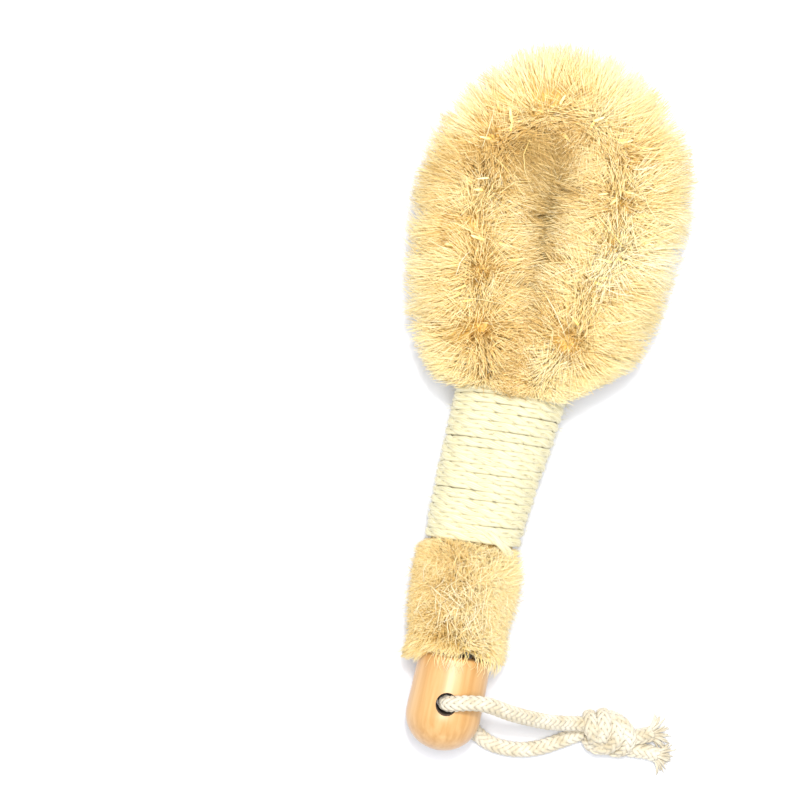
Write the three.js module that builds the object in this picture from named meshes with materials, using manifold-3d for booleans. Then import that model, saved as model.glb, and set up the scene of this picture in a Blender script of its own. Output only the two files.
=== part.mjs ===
// A bath brush of the twisted-wire kind, lying flat: plant-fibre bristles on a wire loop, a twine-wound
// grip, a turned wooden knob and a cotton hanging cord. Millimetres, +Z up, +Y towards the tip of the head.
import * as THREE from "three";
import Module from "manifold-3d";
import { mergeVertices } from "three/addons/utils/BufferGeometryUtils.js";

const wasm = await Module();
wasm.setup();

// Overall sizes
const BRUSH_LENGTH = 260;
const BRISTLE_REACH = 25.5;
const FLAT_CUT = 0.5;
const HEAD_HEIGHT = BRISTLE_REACH - FLAT_CUT;
const HANDLE_HEIGHT = 20;
const LOOP_HALF_WIDTH = 24.6;

// Stations along the brush, measured from the end of the knob
const KNOB_LENGTH = 35;
const HOLE_STATION = 18;
const COLLAR_START = 36.5;
const COLLAR_END = 74;
const GRIP_START = 75.5;
const GRIP_END = 133.7;
const LEGS_PART = 125;
const HEAD_START = 136.2;
const HEAD_LEVEL = 170;
const LOOP_TOP = 235.2;

// Sideways sway of the hand-bent legs: nothing at the knob, most along the collar, nothing at the head
const SWAY = -2.7;
const SWAY_FULL_FROM = 50;
const SWAY_FULL_TO = 80;
const SWAY_END = 140;

// Twisted wires
const STRAND_RADIUS = 0.8;
const STRAND_OFFSET = 1.0;
const STRAND_SIDES = 5;
const TWIST_PITCH = 24;
const STEPS_PER_TWIST = 6;
const LEG_AT_KNOB = 4.4;
const LEG_IN_GRIP = 6.5;
const WIRE_BORE = 2.4;

// Bristles: tapered three-sided strands on a thin sleeve round the wires
const SLEEVE_RADIUS = 3.8;
const STRANDS_ROUND = 6;
const BAND_PITCH = 4.4;
const TIP_SCALE = 0.5;
const LEAN = 0.06;
const LEAN_TURN_PER_BAND = 2.4;
const LEAN_TURN_PER_STRAND = 1.9;
const CENTRE_CLEARANCE = 1.3;
const CROWDING_LIMIT = 0.52;
const SHORTEST_STRAND = 0.5;
const COLLAR_HALF_WIDTH = 20;
const COLLAR_HALF_HEIGHT = 21.3;

// Grip: outer half width and half height of the winding at its knob end and its head end
const GRIP_KNOB_END = { halfWidth: 17.2, halfHeight: 13.5 };
const GRIP_HEAD_END = { halfWidth: 20.5, halfHeight: 15 };
const GRIP_SECTIONS = 6;
const GRIP_ARC_POINTS = 12;
const SEAM_GAP = 0.25;
const TWINE_RADIUS = 1.3;
const TWINE_TURNS = 18;
const STEPS_PER_TURN = 20;
const TWINE_SIDES = 6;
const TWINE_START_ANGLE = THREE.MathUtils.degToRad(-80);
const TWINE_EXTRA_ANGLE = THREE.MathUtils.degToRad(20);
const TUCK_RADIUS = 2 * TWINE_RADIUS;
const TUCK_LENGTH = 2 * TWINE_RADIUS;

// Knob
const KNOB_RADIUS = 13.6;
const KNOB_TOP_RADIUS = 13.2;
const KNOB_EDGE = 1.5;
const KNOB_END_DEPTH = 13;
const SOCKET_DEPTH = 8;
const HOLE_RADIUS = 4;

// Hanging cord
const CORD_RADIUS = 2.8;
const CORD_SIDES = 10;
const KNOT_CENTRE = new THREE.Vector3(60.5, 18, 7.6);
const KNOT_TILT = THREE.MathUtils.degToRad(-14);
const KNOT_CORE = new THREE.Vector3(8.6, 5.2, 5);
const KNOT_WRAP_RADIUS = 4.7;
const KNOT_WRAP_SPACING = 5.5;
const KNOT_WRAP_LEANS = [24, 10, -16];

// Clearance between pieces that touch, and the sides of a bore cut for one of them
const GAP = 0.35;
const BORE_SIDES = 8;

const UP = new THREE.Vector3(0, 0, 1);

// Height of the wires' plane above the surface: level along the handle, rising to the head
function wireHeight(station) {
  const rise = THREE.MathUtils.smoothstep(station, GRIP_START, HEAD_LEVEL);
  return THREE.MathUtils.lerp(HANDLE_HEIGHT, HEAD_HEIGHT, rise);
}

function swayAt(station) {
  const grown = THREE.MathUtils.smoothstep(station, KNOB_LENGTH, SWAY_FULL_FROM);
  return SWAY * grown * (1 - THREE.MathUtils.smoothstep(station, SWAY_FULL_TO, SWAY_END));
}

// Right half of the wires' common axis, from inside the knob up to the crown of the loop
const RIGHT_HALF = [
  [LEG_AT_KNOB, KNOB_LENGTH - SOCKET_DEPTH + 2 * GAP],
  [LEG_AT_KNOB, COLLAR_START + 4],
  [5.4, 56],
  [LEG_IN_GRIP, GRIP_START + 4],
  [LEG_IN_GRIP, LEGS_PART],
  [10.6, 143],
  [17.4, 160],
  [22.5, 178],
  [LOOP_HALF_WIDTH, 198],
  [22.6, 214],
  [14.8, 227],
  [0, LOOP_TOP],
];

// One continuous path for both legs and the loop, from the left end over the crown to the right end
function makeWirePath() {
  const right = RIGHT_HALF.map(([x, y]) => new THREE.Vector3(x, y, wireHeight(y)));
  const left = right.slice(0, -1).map((point) => new THREE.Vector3(-point.x, point.y, point.z));
  const path = new THREE.CatmullRomCurve3([...left, ...right.reverse()]);
  path.arcLengthDivisions = 2000;
  return path;
}

const wirePath = makeWirePath();
const WIRE_LENGTH = wirePath.getLength();

// Axis point and directions on the right half, at a distance along the wire from its end in the knob
function wireFrame(distance) {
  const t = 1 - distance / WIRE_LENGTH;
  const centre = wirePath.getPointAt(t);
  const along = wirePath.getTangentAt(t).negate();
  const outward = new THREE.Vector3().crossVectors(along, UP).normalize();
  const upward = new THREE.Vector3().crossVectors(outward, along);
  return { centre, along, outward, upward };
}

// Distance along the right half at which the wire reaches a station
function distanceToStation(station) {
  let low = 0;
  let high = WIRE_LENGTH / 2;
  for (let step = 0; step < 40; step += 1) {
    const middle = (low + high) / 2;
    if (wireFrame(middle).centre.y < station) low = middle;
    else high = middle;
  }
  return low;
}

// A closed tube of flat-sided section through a list of points, its rings carried along without twist
function tubeThrough(points, radius, sides) {
  const last = points.length - 1;
  const vertices = [];
  const triangles = [];
  let normal = null;
  points.forEach((point, i) => {
    const tangent = points[Math.min(i + 1, last)].clone().sub(points[Math.max(i - 1, 0)]).normalize();
    const guide = normal ?? (Math.abs(tangent.z) < 0.9 ? UP : new THREE.Vector3(1, 0, 0));
    normal = guide.clone().addScaledVector(tangent, -guide.dot(tangent)).normalize();
    const binormal = new THREE.Vector3().crossVectors(tangent, normal);
    for (let k = 0; k < sides; k += 1) {
      const angle = (2 * Math.PI * k) / sides;
      const ringPoint = point.clone().addScaledVector(normal, radius * Math.cos(angle));
      vertices.push(ringPoint.addScaledVector(binormal, radius * Math.sin(angle)));
    }
  });
  for (let i = 0; i < last; i += 1) {
    for (let k = 0; k < sides; k += 1) {
      const next = (k + 1) % sides;
      const a = i * sides + k;
      const b = i * sides + next;
      triangles.push([a, b, b + sides], [a, b + sides, a + sides]);
    }
  }
  for (let k = 1; k < sides - 1; k += 1) {
    triangles.push([0, k + 1, k], [last * sides, last * sides + k, last * sides + k + 1]);
  }
  return indexedGeometry(vertices, triangles);
}

// Geometry from points and triangles; side -1 mirrors it to the left half
function indexedGeometry(points, triangles, side = 1) {
  const positions = points.flatMap((point) => [side * point.x, point.y, point.z]);
  const order = triangles.flatMap(([a, b, c]) => (side < 0 ? [a, c, b] : [a, b, c]));
  const geometry = new THREE.BufferGeometry();
  geometry.setAttribute("position", new THREE.Float32BufferAttribute(positions, 3));
  geometry.setIndex(order);
  geometry.computeVertexNormals();
  return geometry;
}

// Moves a straight piece sideways with the legs
function swayed(geometry) {
  const positions = geometry.attributes.position;
  for (let i = 0; i < positions.count; i += 1) {
    positions.setX(i, positions.getX(i) + swayAt(positions.getY(i)));
  }
  geometry.computeVertexNormals();
  return geometry;
}

// Solid of a closed geometry, for cutting and joining
function solidOf(geometry) {
  const bare = geometry.clone();
  bare.deleteAttribute("normal");
  bare.deleteAttribute("uv");
  const merged = mergeVertices(bare, 1e-4);
  const index = merged.index.array;
  const triVerts = [];
  for (let i = 0; i < index.length; i += 3) {
    const [a, b, c] = [index[i], index[i + 1], index[i + 2]];
    if (a !== b && b !== c && c !== a) triVerts.push(a, b, c);
  }
  const vertProperties = new Float32Array(merged.attributes.position.array);
  const mesh = new wasm.Mesh({ numProp: 3, vertProperties, triVerts: new Uint32Array(triVerts) });
  return new wasm.Manifold(mesh);
}

// Geometry of a solid
function geometryOf(solid) {
  const mesh = solid.getMesh();
  const geometry = new THREE.BufferGeometry();
  geometry.setAttribute("position", new THREE.BufferAttribute(new Float32Array(mesh.vertProperties), 3));
  geometry.setIndex(Array.from(mesh.triVerts));
  geometry.computeVertexNormals();
  return geometry;
}

// One of the two wires, wound round their common axis for its whole length
function wireStrand(phase) {
  const twists = WIRE_LENGTH / TWIST_PITCH;
  const steps = Math.round(twists * STEPS_PER_TWIST);
  const points = [];
  for (let i = 0; i <= steps; i += 1) {
    const t = i / steps;
    const centre = wirePath.getPointAt(t);
    const along = wirePath.getTangentAt(t);
    const across = new THREE.Vector3().crossVectors(along, UP).normalize();
    const upward = new THREE.Vector3().crossVectors(across, along);
    const angle = phase + 2 * Math.PI * twists * t;
    centre.addScaledVector(across, STRAND_OFFSET * Math.cos(angle));
    points.push(centre.addScaledVector(upward, STRAND_OFFSET * Math.sin(angle)));
  }
  return tubeThrough(points, STRAND_RADIUS, STRAND_SIDES);
}

// How fast the wire's direction turns at a distance, as a vector towards the inside of the bend
function bendAt(distance) {
  const reach = 2;
  const after = wireFrame(Math.min(distance + reach, WIRE_LENGTH / 2)).along;
  const before = wireFrame(Math.max(distance - reach, 0)).along;
  return after.sub(before).divideScalar(2 * reach);
}

// Head strands reach the trimmed length, and are shorter where they meet over the middle or crowd in a bend
function headStrandLength(root, direction, distance) {
  const rootRadius = wireFrame(distance).centre.distanceTo(root);
  let length = BRISTLE_REACH - rootRadius;
  if (direction.x < 0) length = Math.min(length, (root.x - CENTRE_CLEARANCE) / -direction.x);
  const crowding = direction.dot(bendAt(distance));
  if (crowding > 0) length = Math.min(length, CROWDING_LIMIT / crowding - rootRadius);
  return Math.max(length, SHORTEST_STRAND);
}

// Collar strands are trimmed to one oval round the handle's axis
function collarStrandLength(root, direction) {
  const rootHeight = root.z - HANDLE_HEIGHT;
  const start = new THREE.Vector2(root.x / COLLAR_HALF_WIDTH, rootHeight / COLLAR_HALF_HEIGHT);
  const step = new THREE.Vector2(direction.x / COLLAR_HALF_WIDTH, direction.z / COLLAR_HALF_HEIGHT);
  const half = start.dot(step);
  const square = step.lengthSq();
  let length = (Math.sqrt(half * half - square * (start.lengthSq() - 1)) - half) / square;
  if (direction.x < 0) length = Math.min(length, (root.x - CENTRE_CLEARANCE / 2) / -direction.x);
  return Math.max(length, SHORTEST_STRAND);
}

// Slides a strand's corner back along its edge until its coordinate is no lower than a limit
function trimTip(tip, corner, axis, limit) {
  if (tip[axis] >= limit) return;
  tip.lerp(corner, (limit - tip[axis]) / (corner[axis] - tip[axis]));
  tip[axis] = limit;
}

// A sleeve round the wires over a stretch of the right half, with a strand on every second facet.
// The rings of the sleeve are turned half a facet against each other, so the strands stand staggered.
// Tips are cut flat at the surface and stay on their own side of the brush's middle.
function bristleSleeve(startDistance, endDistance, strandLength, side) {
  const bands = 2 * Math.round((endDistance - startDistance) / (2 * BAND_PITCH));
  const vertices = [];
  const triangles = [];
  const ringDistance = (ring) => THREE.MathUtils.lerp(startDistance, endDistance, ring / bands);
  const addRing = (ring, radius) => {
    const { centre, outward, upward } = wireFrame(ringDistance(ring));
    const turn = (ring % 2) / 2;
    for (let j = 0; j < STRANDS_ROUND; j += 1) {
      const angle = (2 * Math.PI * (j + turn)) / STRANDS_ROUND;
      const point = centre.clone().addScaledVector(outward, radius * Math.cos(angle));
      vertices.push(point.addScaledVector(upward, radius * Math.sin(angle)));
    }
  };
  for (let ring = 0; ring <= bands; ring += 1) addRing(ring, SLEEVE_RADIUS);
  for (let ring = 0; ring <= bands; ring += 1) addRing(ring, WIRE_BORE);
  const inner = (bands + 1) * STRANDS_ROUND;
  const outerAt = (ring, j) => ring * STRANDS_ROUND + (j % STRANDS_ROUND);

  const addStrand = (corners, band, j) => {
    const distance = ringDistance(band + 0.5);
    const { centre, along } = wireFrame(distance);
    const base = corners.map((corner) => vertices[corner]);
    const root = base[0].clone().add(base[1]).add(base[2]).divideScalar(3);
    const direction = root.clone().sub(centre);
    direction.addScaledVector(along, -direction.dot(along)).normalize();
    const length = strandLength(root, direction, distance);
    const leanTurn = LEAN_TURN_PER_BAND * band + LEAN_TURN_PER_STRAND * j;
    direction.addScaledVector(along, LEAN * Math.sin(leanTurn)).normalize();
    const tips = base.map((corner) => {
      const tip = corner.clone().sub(root).multiplyScalar(TIP_SCALE).add(root);
      tip.addScaledVector(direction, length);
      trimTip(tip, corner, "x", SEAM_GAP);
      trimTip(tip, corner, "z", 0);
      return vertices.push(tip) - 1;
    });
    for (let k = 0; k < 3; k += 1) {
      const next = (k + 1) % 3;
      triangles.push([corners[k], corners[next], tips[next]], [corners[k], tips[next], tips[k]]);
    }
    triangles.push(tips);
  };

  for (let band = 0; band < bands; band += 1) {
    const shift = band % 2;
    for (let j = 0; j < STRANDS_ROUND; j += 1) {
      const lower = outerAt(band, j);
      const lowerNext = outerAt(band, j + 1);
      const upper = outerAt(band + 1, j);
      const upperNext = outerAt(band + 1, j + 1);
      const standing = [lower, shift ? upperNext : upper, lowerNext];
      const hanging = [upper, upperNext, shift ? lower : lowerNext];
      addStrand(standing, band, j);
      triangles.push(hanging);
      for (const [a, b, c] of [standing, hanging]) triangles.push([inner + a, inner + c, inner + b]);
    }
  }
  for (let j = 0; j < STRANDS_ROUND; j += 1) {
    const [a, b] = [outerAt(0, j), outerAt(0, j + 1)];
    const [c, d] = [outerAt(bands, j), outerAt(bands, j + 1)];
    triangles.push([a, b, inner + a], [b, inner + b, inner + a]);
    triangles.push([c, inner + c, d], [d, inner + c, inner + d]);
  }
  return indexedGeometry(vertices, triangles, side);
}

function headBristles(side) {
  const crown = WIRE_LENGTH / 2 - GAP;
  return bristleSleeve(distanceToStation(HEAD_START), crown, headStrandLength, side);
}

function collarBristles(side) {
  const start = distanceToStation(COLLAR_START);
  const end = distanceToStation(COLLAR_END);
  return bristleSleeve(start, end, collarStrandLength, side);
}

// Half width and half height of the grip at a station, drawn in from the winding's outside by an inset
function gripSection(station, inset) {
  const share = THREE.MathUtils.inverseLerp(GRIP_START, GRIP_END, station);
  const between = (side) => THREE.MathUtils.lerp(GRIP_KNOB_END[side], GRIP_HEAD_END[side], share) - inset;
  return { halfWidth: between("halfWidth"), halfHeight: between("halfHeight") };
}

// Point of the winding's centre line at an angle round the grip
const TWINE_SPAN = 2 * Math.PI * TWINE_TURNS + TWINE_EXTRA_ANGLE;

function twinePoint(turned) {
  const share = turned / TWINE_SPAN;
  const station = THREE.MathUtils.lerp(GRIP_START + TWINE_RADIUS, GRIP_END - TWINE_RADIUS, share);
  const { halfWidth, halfHeight } = gripSection(station, TWINE_RADIUS);
  const angle = TWINE_START_ANGLE - turned;
  const height = wireHeight(station) + halfHeight * Math.sin(angle);
  return new THREE.Vector3(halfWidth * Math.cos(angle), station, height);
}

// The twine's end: a quarter bend into the grip and a straight stretch, square to its surface
function twineTuck(turned, direction) {
  const end = twinePoint(turned);
  const smallTurn = 0.02;
  const travel = twinePoint(turned + direction * smallTurn).sub(end).setY(0).normalize();
  const inward = new THREE.Vector3(-travel.z, 0, travel.x);
  if (inward.dot(new THREE.Vector3(end.x, 0, end.z - wireHeight(end.y))) > 0) inward.negate();
  const points = [];
  for (const angle of [Math.PI / 6, Math.PI / 3, Math.PI / 2]) {
    const point = end.clone().addScaledVector(travel, TUCK_RADIUS * Math.sin(angle));
    points.push(point.addScaledVector(inward, TUCK_RADIUS * (1 - Math.cos(angle))));
  }
  points.push(points[2].clone().addScaledVector(inward, TUCK_LENGTH));
  return points;
}

const knobEndTuck = twineTuck(0, -1);
const headEndTuck = twineTuck(TWINE_SPAN, 1);

function twinePoints() {
  const steps = Math.round((TWINE_SPAN / (2 * Math.PI)) * STEPS_PER_TURN);
  const turns = [];
  for (let i = 0; i <= steps; i += 1) turns.push(twinePoint((TWINE_SPAN * i) / steps));
  return [...knobEndTuck.toReversed(), ...turns, ...headEndTuck];
}

// Least gap between the winding's turns, from points at least half a turn apart
function leastTwineGap(points) {
  let least = Infinity;
  for (let i = 0; i < points.length; i += 1) {
    for (let j = i + STEPS_PER_TURN / 2; j < points.length; j += 1) {
      least = Math.min(least, points[i].distanceTo(points[j]));
    }
  }
  return least - 2 * TWINE_RADIUS;
}

function gripTwine() {
  const points = twinePoints();
  const standing = points.map((point) => point.clone().setX(point.x + swayAt(point.y)));
  console.log(`least gap between turns of the grip twine: ${leastTwineGap(standing).toFixed(2)} mm`);
  return tubeThrough(points, TWINE_RADIUS, TWINE_SIDES);
}

// Crushed bristles of one leg under the winding: a half oval pack with a bore for the wires
function gripPack(side) {
  const inset = 2 * TWINE_RADIUS + GAP;
  const vertices = [];
  const triangles = [];
  for (let i = 0; i < GRIP_SECTIONS; i += 1) {
    const station = THREE.MathUtils.lerp(GRIP_START, GRIP_END, i / (GRIP_SECTIONS - 1));
    const { halfWidth, halfHeight } = gripSection(station, inset);
    const limit = Math.acos(SEAM_GAP / halfWidth);
    for (let j = 0; j < GRIP_ARC_POINTS; j += 1) {
      const angle = THREE.MathUtils.lerp(-limit, limit, j / (GRIP_ARC_POINTS - 1));
      const height = wireHeight(station) + halfHeight * Math.sin(angle);
      vertices.push(new THREE.Vector3(halfWidth * Math.cos(angle), station, height));
    }
  }
  const lastRing = (GRIP_SECTIONS - 1) * GRIP_ARC_POINTS;
  for (let ring = 0; ring < lastRing; ring += GRIP_ARC_POINTS) {
    for (let j = 0; j < GRIP_ARC_POINTS; j += 1) {
      const a = ring + j;
      const b = ring + ((j + 1) % GRIP_ARC_POINTS);
      triangles.push([a, b + GRIP_ARC_POINTS, b], [a, a + GRIP_ARC_POINTS, b + GRIP_ARC_POINTS]);
    }
  }
  for (let j = 1; j < GRIP_ARC_POINTS - 1; j += 1) {
    triangles.push([0, j, j + 1], [lastRing, lastRing + j + 1, lastRing + j]);
  }
  const borePoints = [];
  const boreSteps = 8;
  for (let step = 0; step <= boreSteps; step += 1) {
    const station = THREE.MathUtils.lerp(GRIP_START - 2, GRIP_END + 2, step / boreSteps);
    const point = wireFrame(distanceToStation(station)).centre;
    borePoints.push(point.setX(side * point.x));
  }
  let pack = solidOf(indexedGeometry(vertices, triangles, side));
  pack = pack.subtract(solidOf(tubeThrough(borePoints, WIRE_BORE, BORE_SIDES)));
  for (const tuck of [knobEndTuck, headEndTuck]) {
    const inward = tuck[3].clone().sub(tuck[2]).normalize();
    const pocket = [...tuck, tuck[3].clone().addScaledVector(inward, GAP)];
    pack = pack.subtract(solidOf(tubeThrough(pocket, TWINE_RADIUS + GAP, BORE_SIDES)));
  }
  return geometryOf(pack);
}

// Turned knob: a domed end, nearly straight sides and a softened top edge
function knobProfile() {
  const profile = [];
  const domeSteps = 7;
  for (let i = 0; i <= domeSteps; i += 1) {
    const angle = (Math.PI / 2) * (i / domeSteps);
    profile.push(new THREE.Vector2(KNOB_RADIUS * Math.sin(angle), KNOB_END_DEPTH * (1 - Math.cos(angle))));
  }
  const edgeSteps = 3;
  for (let i = 0; i <= edgeSteps; i += 1) {
    const angle = (Math.PI / 2) * (i / edgeSteps);
    const radius = KNOB_TOP_RADIUS - KNOB_EDGE * (1 - Math.cos(angle));
    profile.push(new THREE.Vector2(radius, KNOB_LENGTH - KNOB_EDGE * (1 - Math.sin(angle))));
  }
  profile.push(new THREE.Vector2(0, KNOB_LENGTH));
  profile[0].x = 0;
  return profile;
}

// Cutter for the cord's cross hole, flared where it breaks the surface
function holeCutter() {
  const flare = 2;
  const flareDepth = 2.6;
  const overshoot = 1.4;
  const flareStart = KNOB_RADIUS - flareDepth;
  const reach = KNOB_RADIUS + overshoot;
  const profile = [
    new THREE.Vector2(0, -reach),
    new THREE.Vector2(HOLE_RADIUS + flare, -reach),
    new THREE.Vector2(HOLE_RADIUS, -flareStart),
    new THREE.Vector2(HOLE_RADIUS, flareStart),
    new THREE.Vector2(HOLE_RADIUS + flare, reach),
    new THREE.Vector2(0, reach),
  ];
  const cutter = new THREE.LatheGeometry(profile, 24);
  return cutter.rotateX(Math.PI / 2).translate(0, HOLE_STATION, 0);
}

function socketCutter(side) {
  const cutter = new THREE.CylinderGeometry(WIRE_BORE, WIRE_BORE, 2 * SOCKET_DEPTH, 10);
  return cutter.translate(side * LEG_AT_KNOB, KNOB_LENGTH, 0);
}

function endKnob() {
  let knob = solidOf(new THREE.LatheGeometry(knobProfile(), 40));
  knob = knob.subtract(solidOf(holeCutter()));
  knob = knob.subtract(solidOf(socketCutter(1))).subtract(solidOf(socketCutter(-1)));
  return geometryOf(knob);
}

// Cord routes, from the middle of the cross hole to the knot and from the knot to the frayed ends
const FRONT_ROUTE = [
  [0, 18, 20.2],
  [0, 18, 24.5],
  [0, 18, 29.2],
  [0.9, 18.4, 33.6],
  [3.5, 19.3, 36.4],
  [7.4, 20.4, 37.4],
  [11.5, 21, 37],
  [15.4, 20.9, 35.6],
  [23, 19.4, 30.6],
  [30.9, 18.4, 23.6],
  [38.7, 17.9, 16.8],
  [46.3, 18.5, 11.2],
  [52.5, 19.4, 9],
];
const BACK_ROUTE = [
  [0, 18, 19.8],
  [0, 18, 15.5],
  [0, 18, 10.4],
  [0.6, 17.5, 6.4],
  [2.6, 15.9, 3.8],
  [5.7, 13.4, 2.9],
  [10.4, 9.6, 2.9],
  [15, 6.6, 2.9],
  [19.2, 4.8, 2.9],
  [24, 4.1, 2.9],
  [30.9, 4.6, 2.9],
  [37.9, 6.9, 2.9],
  [44.6, 10.8, 2.9],
  [50.6, 14.6, 3.2],
  [54, 16.6, 3.6],
];
const UPPER_TAIL_ROUTE = [
  [64.5, 18.9, 7.2],
  [70.2, 19, 6],
  [73.8, 20, 4.8],
  [76.8, 22.8, 3.5],
  [79.2, 26.4, 2.9],
];
const LOWER_TAIL_ROUTE = [
  [64.5, 14.4, 3.6],
  [71.2, 13.2, 3],
  [75.9, 13.6, 2.9],
  [79.8, 13.5, 2.9],
  [84, 12.6, 2.9],
];

function cordTube(route, steps) {
  const curve = new THREE.CatmullRomCurve3(route.map((point) => new THREE.Vector3(...point)));
  return tubeThrough(curve.getSpacedPoints(steps), CORD_RADIUS, CORD_SIDES);
}

// Overhand knot in the doubled cord: a core with three leaning wraps, grown by a margin for cutting
function knotSolid(grown) {
  const core = new THREE.SphereGeometry(1, 16, 10);
  core.scale(KNOT_CORE.x + grown, KNOT_CORE.y + grown, KNOT_CORE.z + grown);
  let knot = solidOf(core);
  KNOT_WRAP_LEANS.forEach((lean, i) => {
    const wrap = new THREE.TorusGeometry(KNOT_WRAP_RADIUS, CORD_RADIUS + grown, 8, 16);
    wrap.rotateY(Math.PI / 2).rotateZ(THREE.MathUtils.degToRad(lean));
    wrap.translate((i - 1) * KNOT_WRAP_SPACING, 0, 0);
    knot = knot.add(solidOf(wrap));
  });
  return knot;
}

function placedKnot(grown) {
  const geometry = geometryOf(knotSolid(grown));
  return geometry.rotateZ(KNOT_TILT).translate(KNOT_CENTRE.x, KNOT_CENTRE.y, KNOT_CENTRE.z);
}

// A stretch of cord that ends face to face with the knot
function cordStretch(route, steps) {
  const stretch = solidOf(cordTube(route, steps)).subtract(solidOf(placedKnot(GAP)));
  const pieces = stretch.decompose().sort((a, b) => b.volume() - a.volume());
  return geometryOf(pieces[0]);
}

const brush = new THREE.Group();
brush.position.y = -BRUSH_LENGTH / 2;

function addPiece(name, geometry, colour, roughness, metalness = 0) {
  const material = new THREE.MeshStandardMaterial({ color: colour, roughness, metalness });
  const piece = new THREE.Mesh(geometry, material);
  piece.name = name;
  brush.add(piece);
  return piece;
}

const BRISTLE_COLOUR = "#e5c384";
const CRUSHED_COLOUR = "#c9ad7c";
const TWINE_COLOUR = "#f2ebcb";
const WIRE_COLOUR = "#a9acad";
const WOOD_COLOUR = "#efc987";
const CORD_COLOUR = "#f1e8d3";

addPiece("wire_strand_a", swayed(wireStrand(0)), WIRE_COLOUR, 0.4, 1);
addPiece("wire_strand_b", swayed(wireStrand(Math.PI)), WIRE_COLOUR, 0.4, 1);
for (const [name, side] of [["left", -1], ["right", 1]]) {
  addPiece(`head_bristles_${name}`, swayed(headBristles(side)), BRISTLE_COLOUR, 0.8);
  addPiece(`grip_bristles_${name}`, swayed(gripPack(side)), CRUSHED_COLOUR, 0.85);
  addPiece(`collar_bristles_${name}`, swayed(collarBristles(side)), BRISTLE_COLOUR, 0.8);
}
addPiece("grip_twine", swayed(gripTwine()), TWINE_COLOUR, 0.75);
addPiece("end_knob", endKnob(), WOOD_COLOUR, 0.3).position.z = HANDLE_HEIGHT;
addPiece("cord_front_strand", cordStretch(FRONT_ROUTE, 12), CORD_COLOUR, 0.9);
addPiece("cord_back_strand", cordStretch(BACK_ROUTE, 12), CORD_COLOUR, 0.9);
addPiece("cord_knot", placedKnot(0), CORD_COLOUR, 0.9);
addPiece("cord_tail_upper", cordStretch(UPPER_TAIL_ROUTE, 4), CORD_COLOUR, 0.9);
addPiece("cord_tail_lower", cordStretch(LOWER_TAIL_ROUTE, 4), CORD_COLOUR, 0.9);

export default brush;
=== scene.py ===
# %% [markdown]
# # A bath brush on its CAD frame
# The brush is of the twisted-in-wire kind. Plant fibres are pinched between two wires, the wires are
# twisted and bent into a loop, the two legs are bound with twine and set into a turned wooden knob, and a
# cotton cord hangs it up. The CAD model gives every size and every moving body, so the lesson starts by
# loading it.

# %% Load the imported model
import math

import bpy
import numpy as np
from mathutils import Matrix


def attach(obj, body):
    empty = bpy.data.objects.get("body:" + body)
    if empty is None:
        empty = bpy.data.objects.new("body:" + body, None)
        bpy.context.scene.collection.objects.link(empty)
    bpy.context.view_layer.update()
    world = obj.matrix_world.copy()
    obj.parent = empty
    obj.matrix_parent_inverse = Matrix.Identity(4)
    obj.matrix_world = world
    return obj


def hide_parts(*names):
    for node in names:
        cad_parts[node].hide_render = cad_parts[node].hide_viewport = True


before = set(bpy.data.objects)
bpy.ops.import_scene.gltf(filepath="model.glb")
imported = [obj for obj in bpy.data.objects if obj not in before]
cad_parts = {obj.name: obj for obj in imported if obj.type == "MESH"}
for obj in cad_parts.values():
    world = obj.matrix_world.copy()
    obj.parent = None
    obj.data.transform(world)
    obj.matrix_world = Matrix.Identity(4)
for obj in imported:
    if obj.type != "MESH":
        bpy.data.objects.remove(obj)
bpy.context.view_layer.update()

# %% [markdown]
# ## The camera
# The photograph looks straight down on the brush, which lies turned a little to the right. A long lens
# high above keeps the scale nearly the same from the cord on the table up to the tips of the bristles.
# The picture is square and covers 289 mm at the height of the wires.

# %% Camera
VIEW_WIDTH = 0.2889
VIEW_TURN = math.radians(11.95)
VIEW_CENTRE = (-0.03896, -0.00869)
WIRE_PLANE = 0.025
CAMERA_RISE = 1.15
SENSOR_WIDTH = 36.0

camera_data = bpy.data.cameras.new("photo_camera")
camera_data.sensor_fit = "HORIZONTAL"
camera_data.sensor_width = SENSOR_WIDTH
camera_data.lens = SENSOR_WIDTH * CAMERA_RISE / VIEW_WIDTH
camera = bpy.data.objects.new("photo_camera", camera_data)
camera.location = (*VIEW_CENTRE, WIRE_PLANE + CAMERA_RISE)
camera.rotation_euler = (0.0, 0.0, VIEW_TURN)
bpy.context.scene.collection.objects.link(camera)
bpy.context.scene.camera = camera
print("lens", round(camera_data.lens, 1), "mm")

# %% [markdown]
# ## One function for nodes and one for colours
# Colours are read off as sRGB hex values, but shaders work in linear light, so one function does the
# change. A material is a small graph. One function adds a node, sets its properties and fills its inputs
# with values or with the outputs of other nodes. The shader's own inputs are filled in the same way.

# %% Colours and nodes
def linear(colour):
    """Linear RGBA of an sRGB hex colour: c / 12.92 in the darks, ((c + 0.055) / 1.055) ** 2.4 above them."""
    value = np.array([int(colour[i:i + 2], 16) for i in (1, 3, 5)]) / 255.0
    light = np.where(value <= 0.04045, value / 12.92, ((value + 0.055) / 1.055) ** 2.4)
    return (*light.tolist(), 1.0)


def fill_inputs(material, node, inputs):
    """Gives named or numbered inputs of a node a value, or the output of another node."""
    for name, value in inputs.items():
        if isinstance(value, bpy.types.NodeSocket):
            material.node_tree.links.new(value, node.inputs[name])
        else:
            node.inputs[name].default_value = value


def add_node(material, kind, inputs=None, output=0, stops=None, **settings):
    """One node with its settings and inputs, handed back as one of its outputs. Stops colour a ramp."""
    made = material.node_tree.nodes.new(kind)
    for name, value in settings.items():
        setattr(made, name, value)
    fill_inputs(material, made, inputs or {})
    if stops:
        ramp = made.color_ramp.elements
        while len(ramp) < len(stops):
            ramp.new(0.5)
        for element, (place, colour) in zip(ramp, stops):
            element.position = place
            element.color = linear(colour)
    return made.outputs[output]


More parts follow.
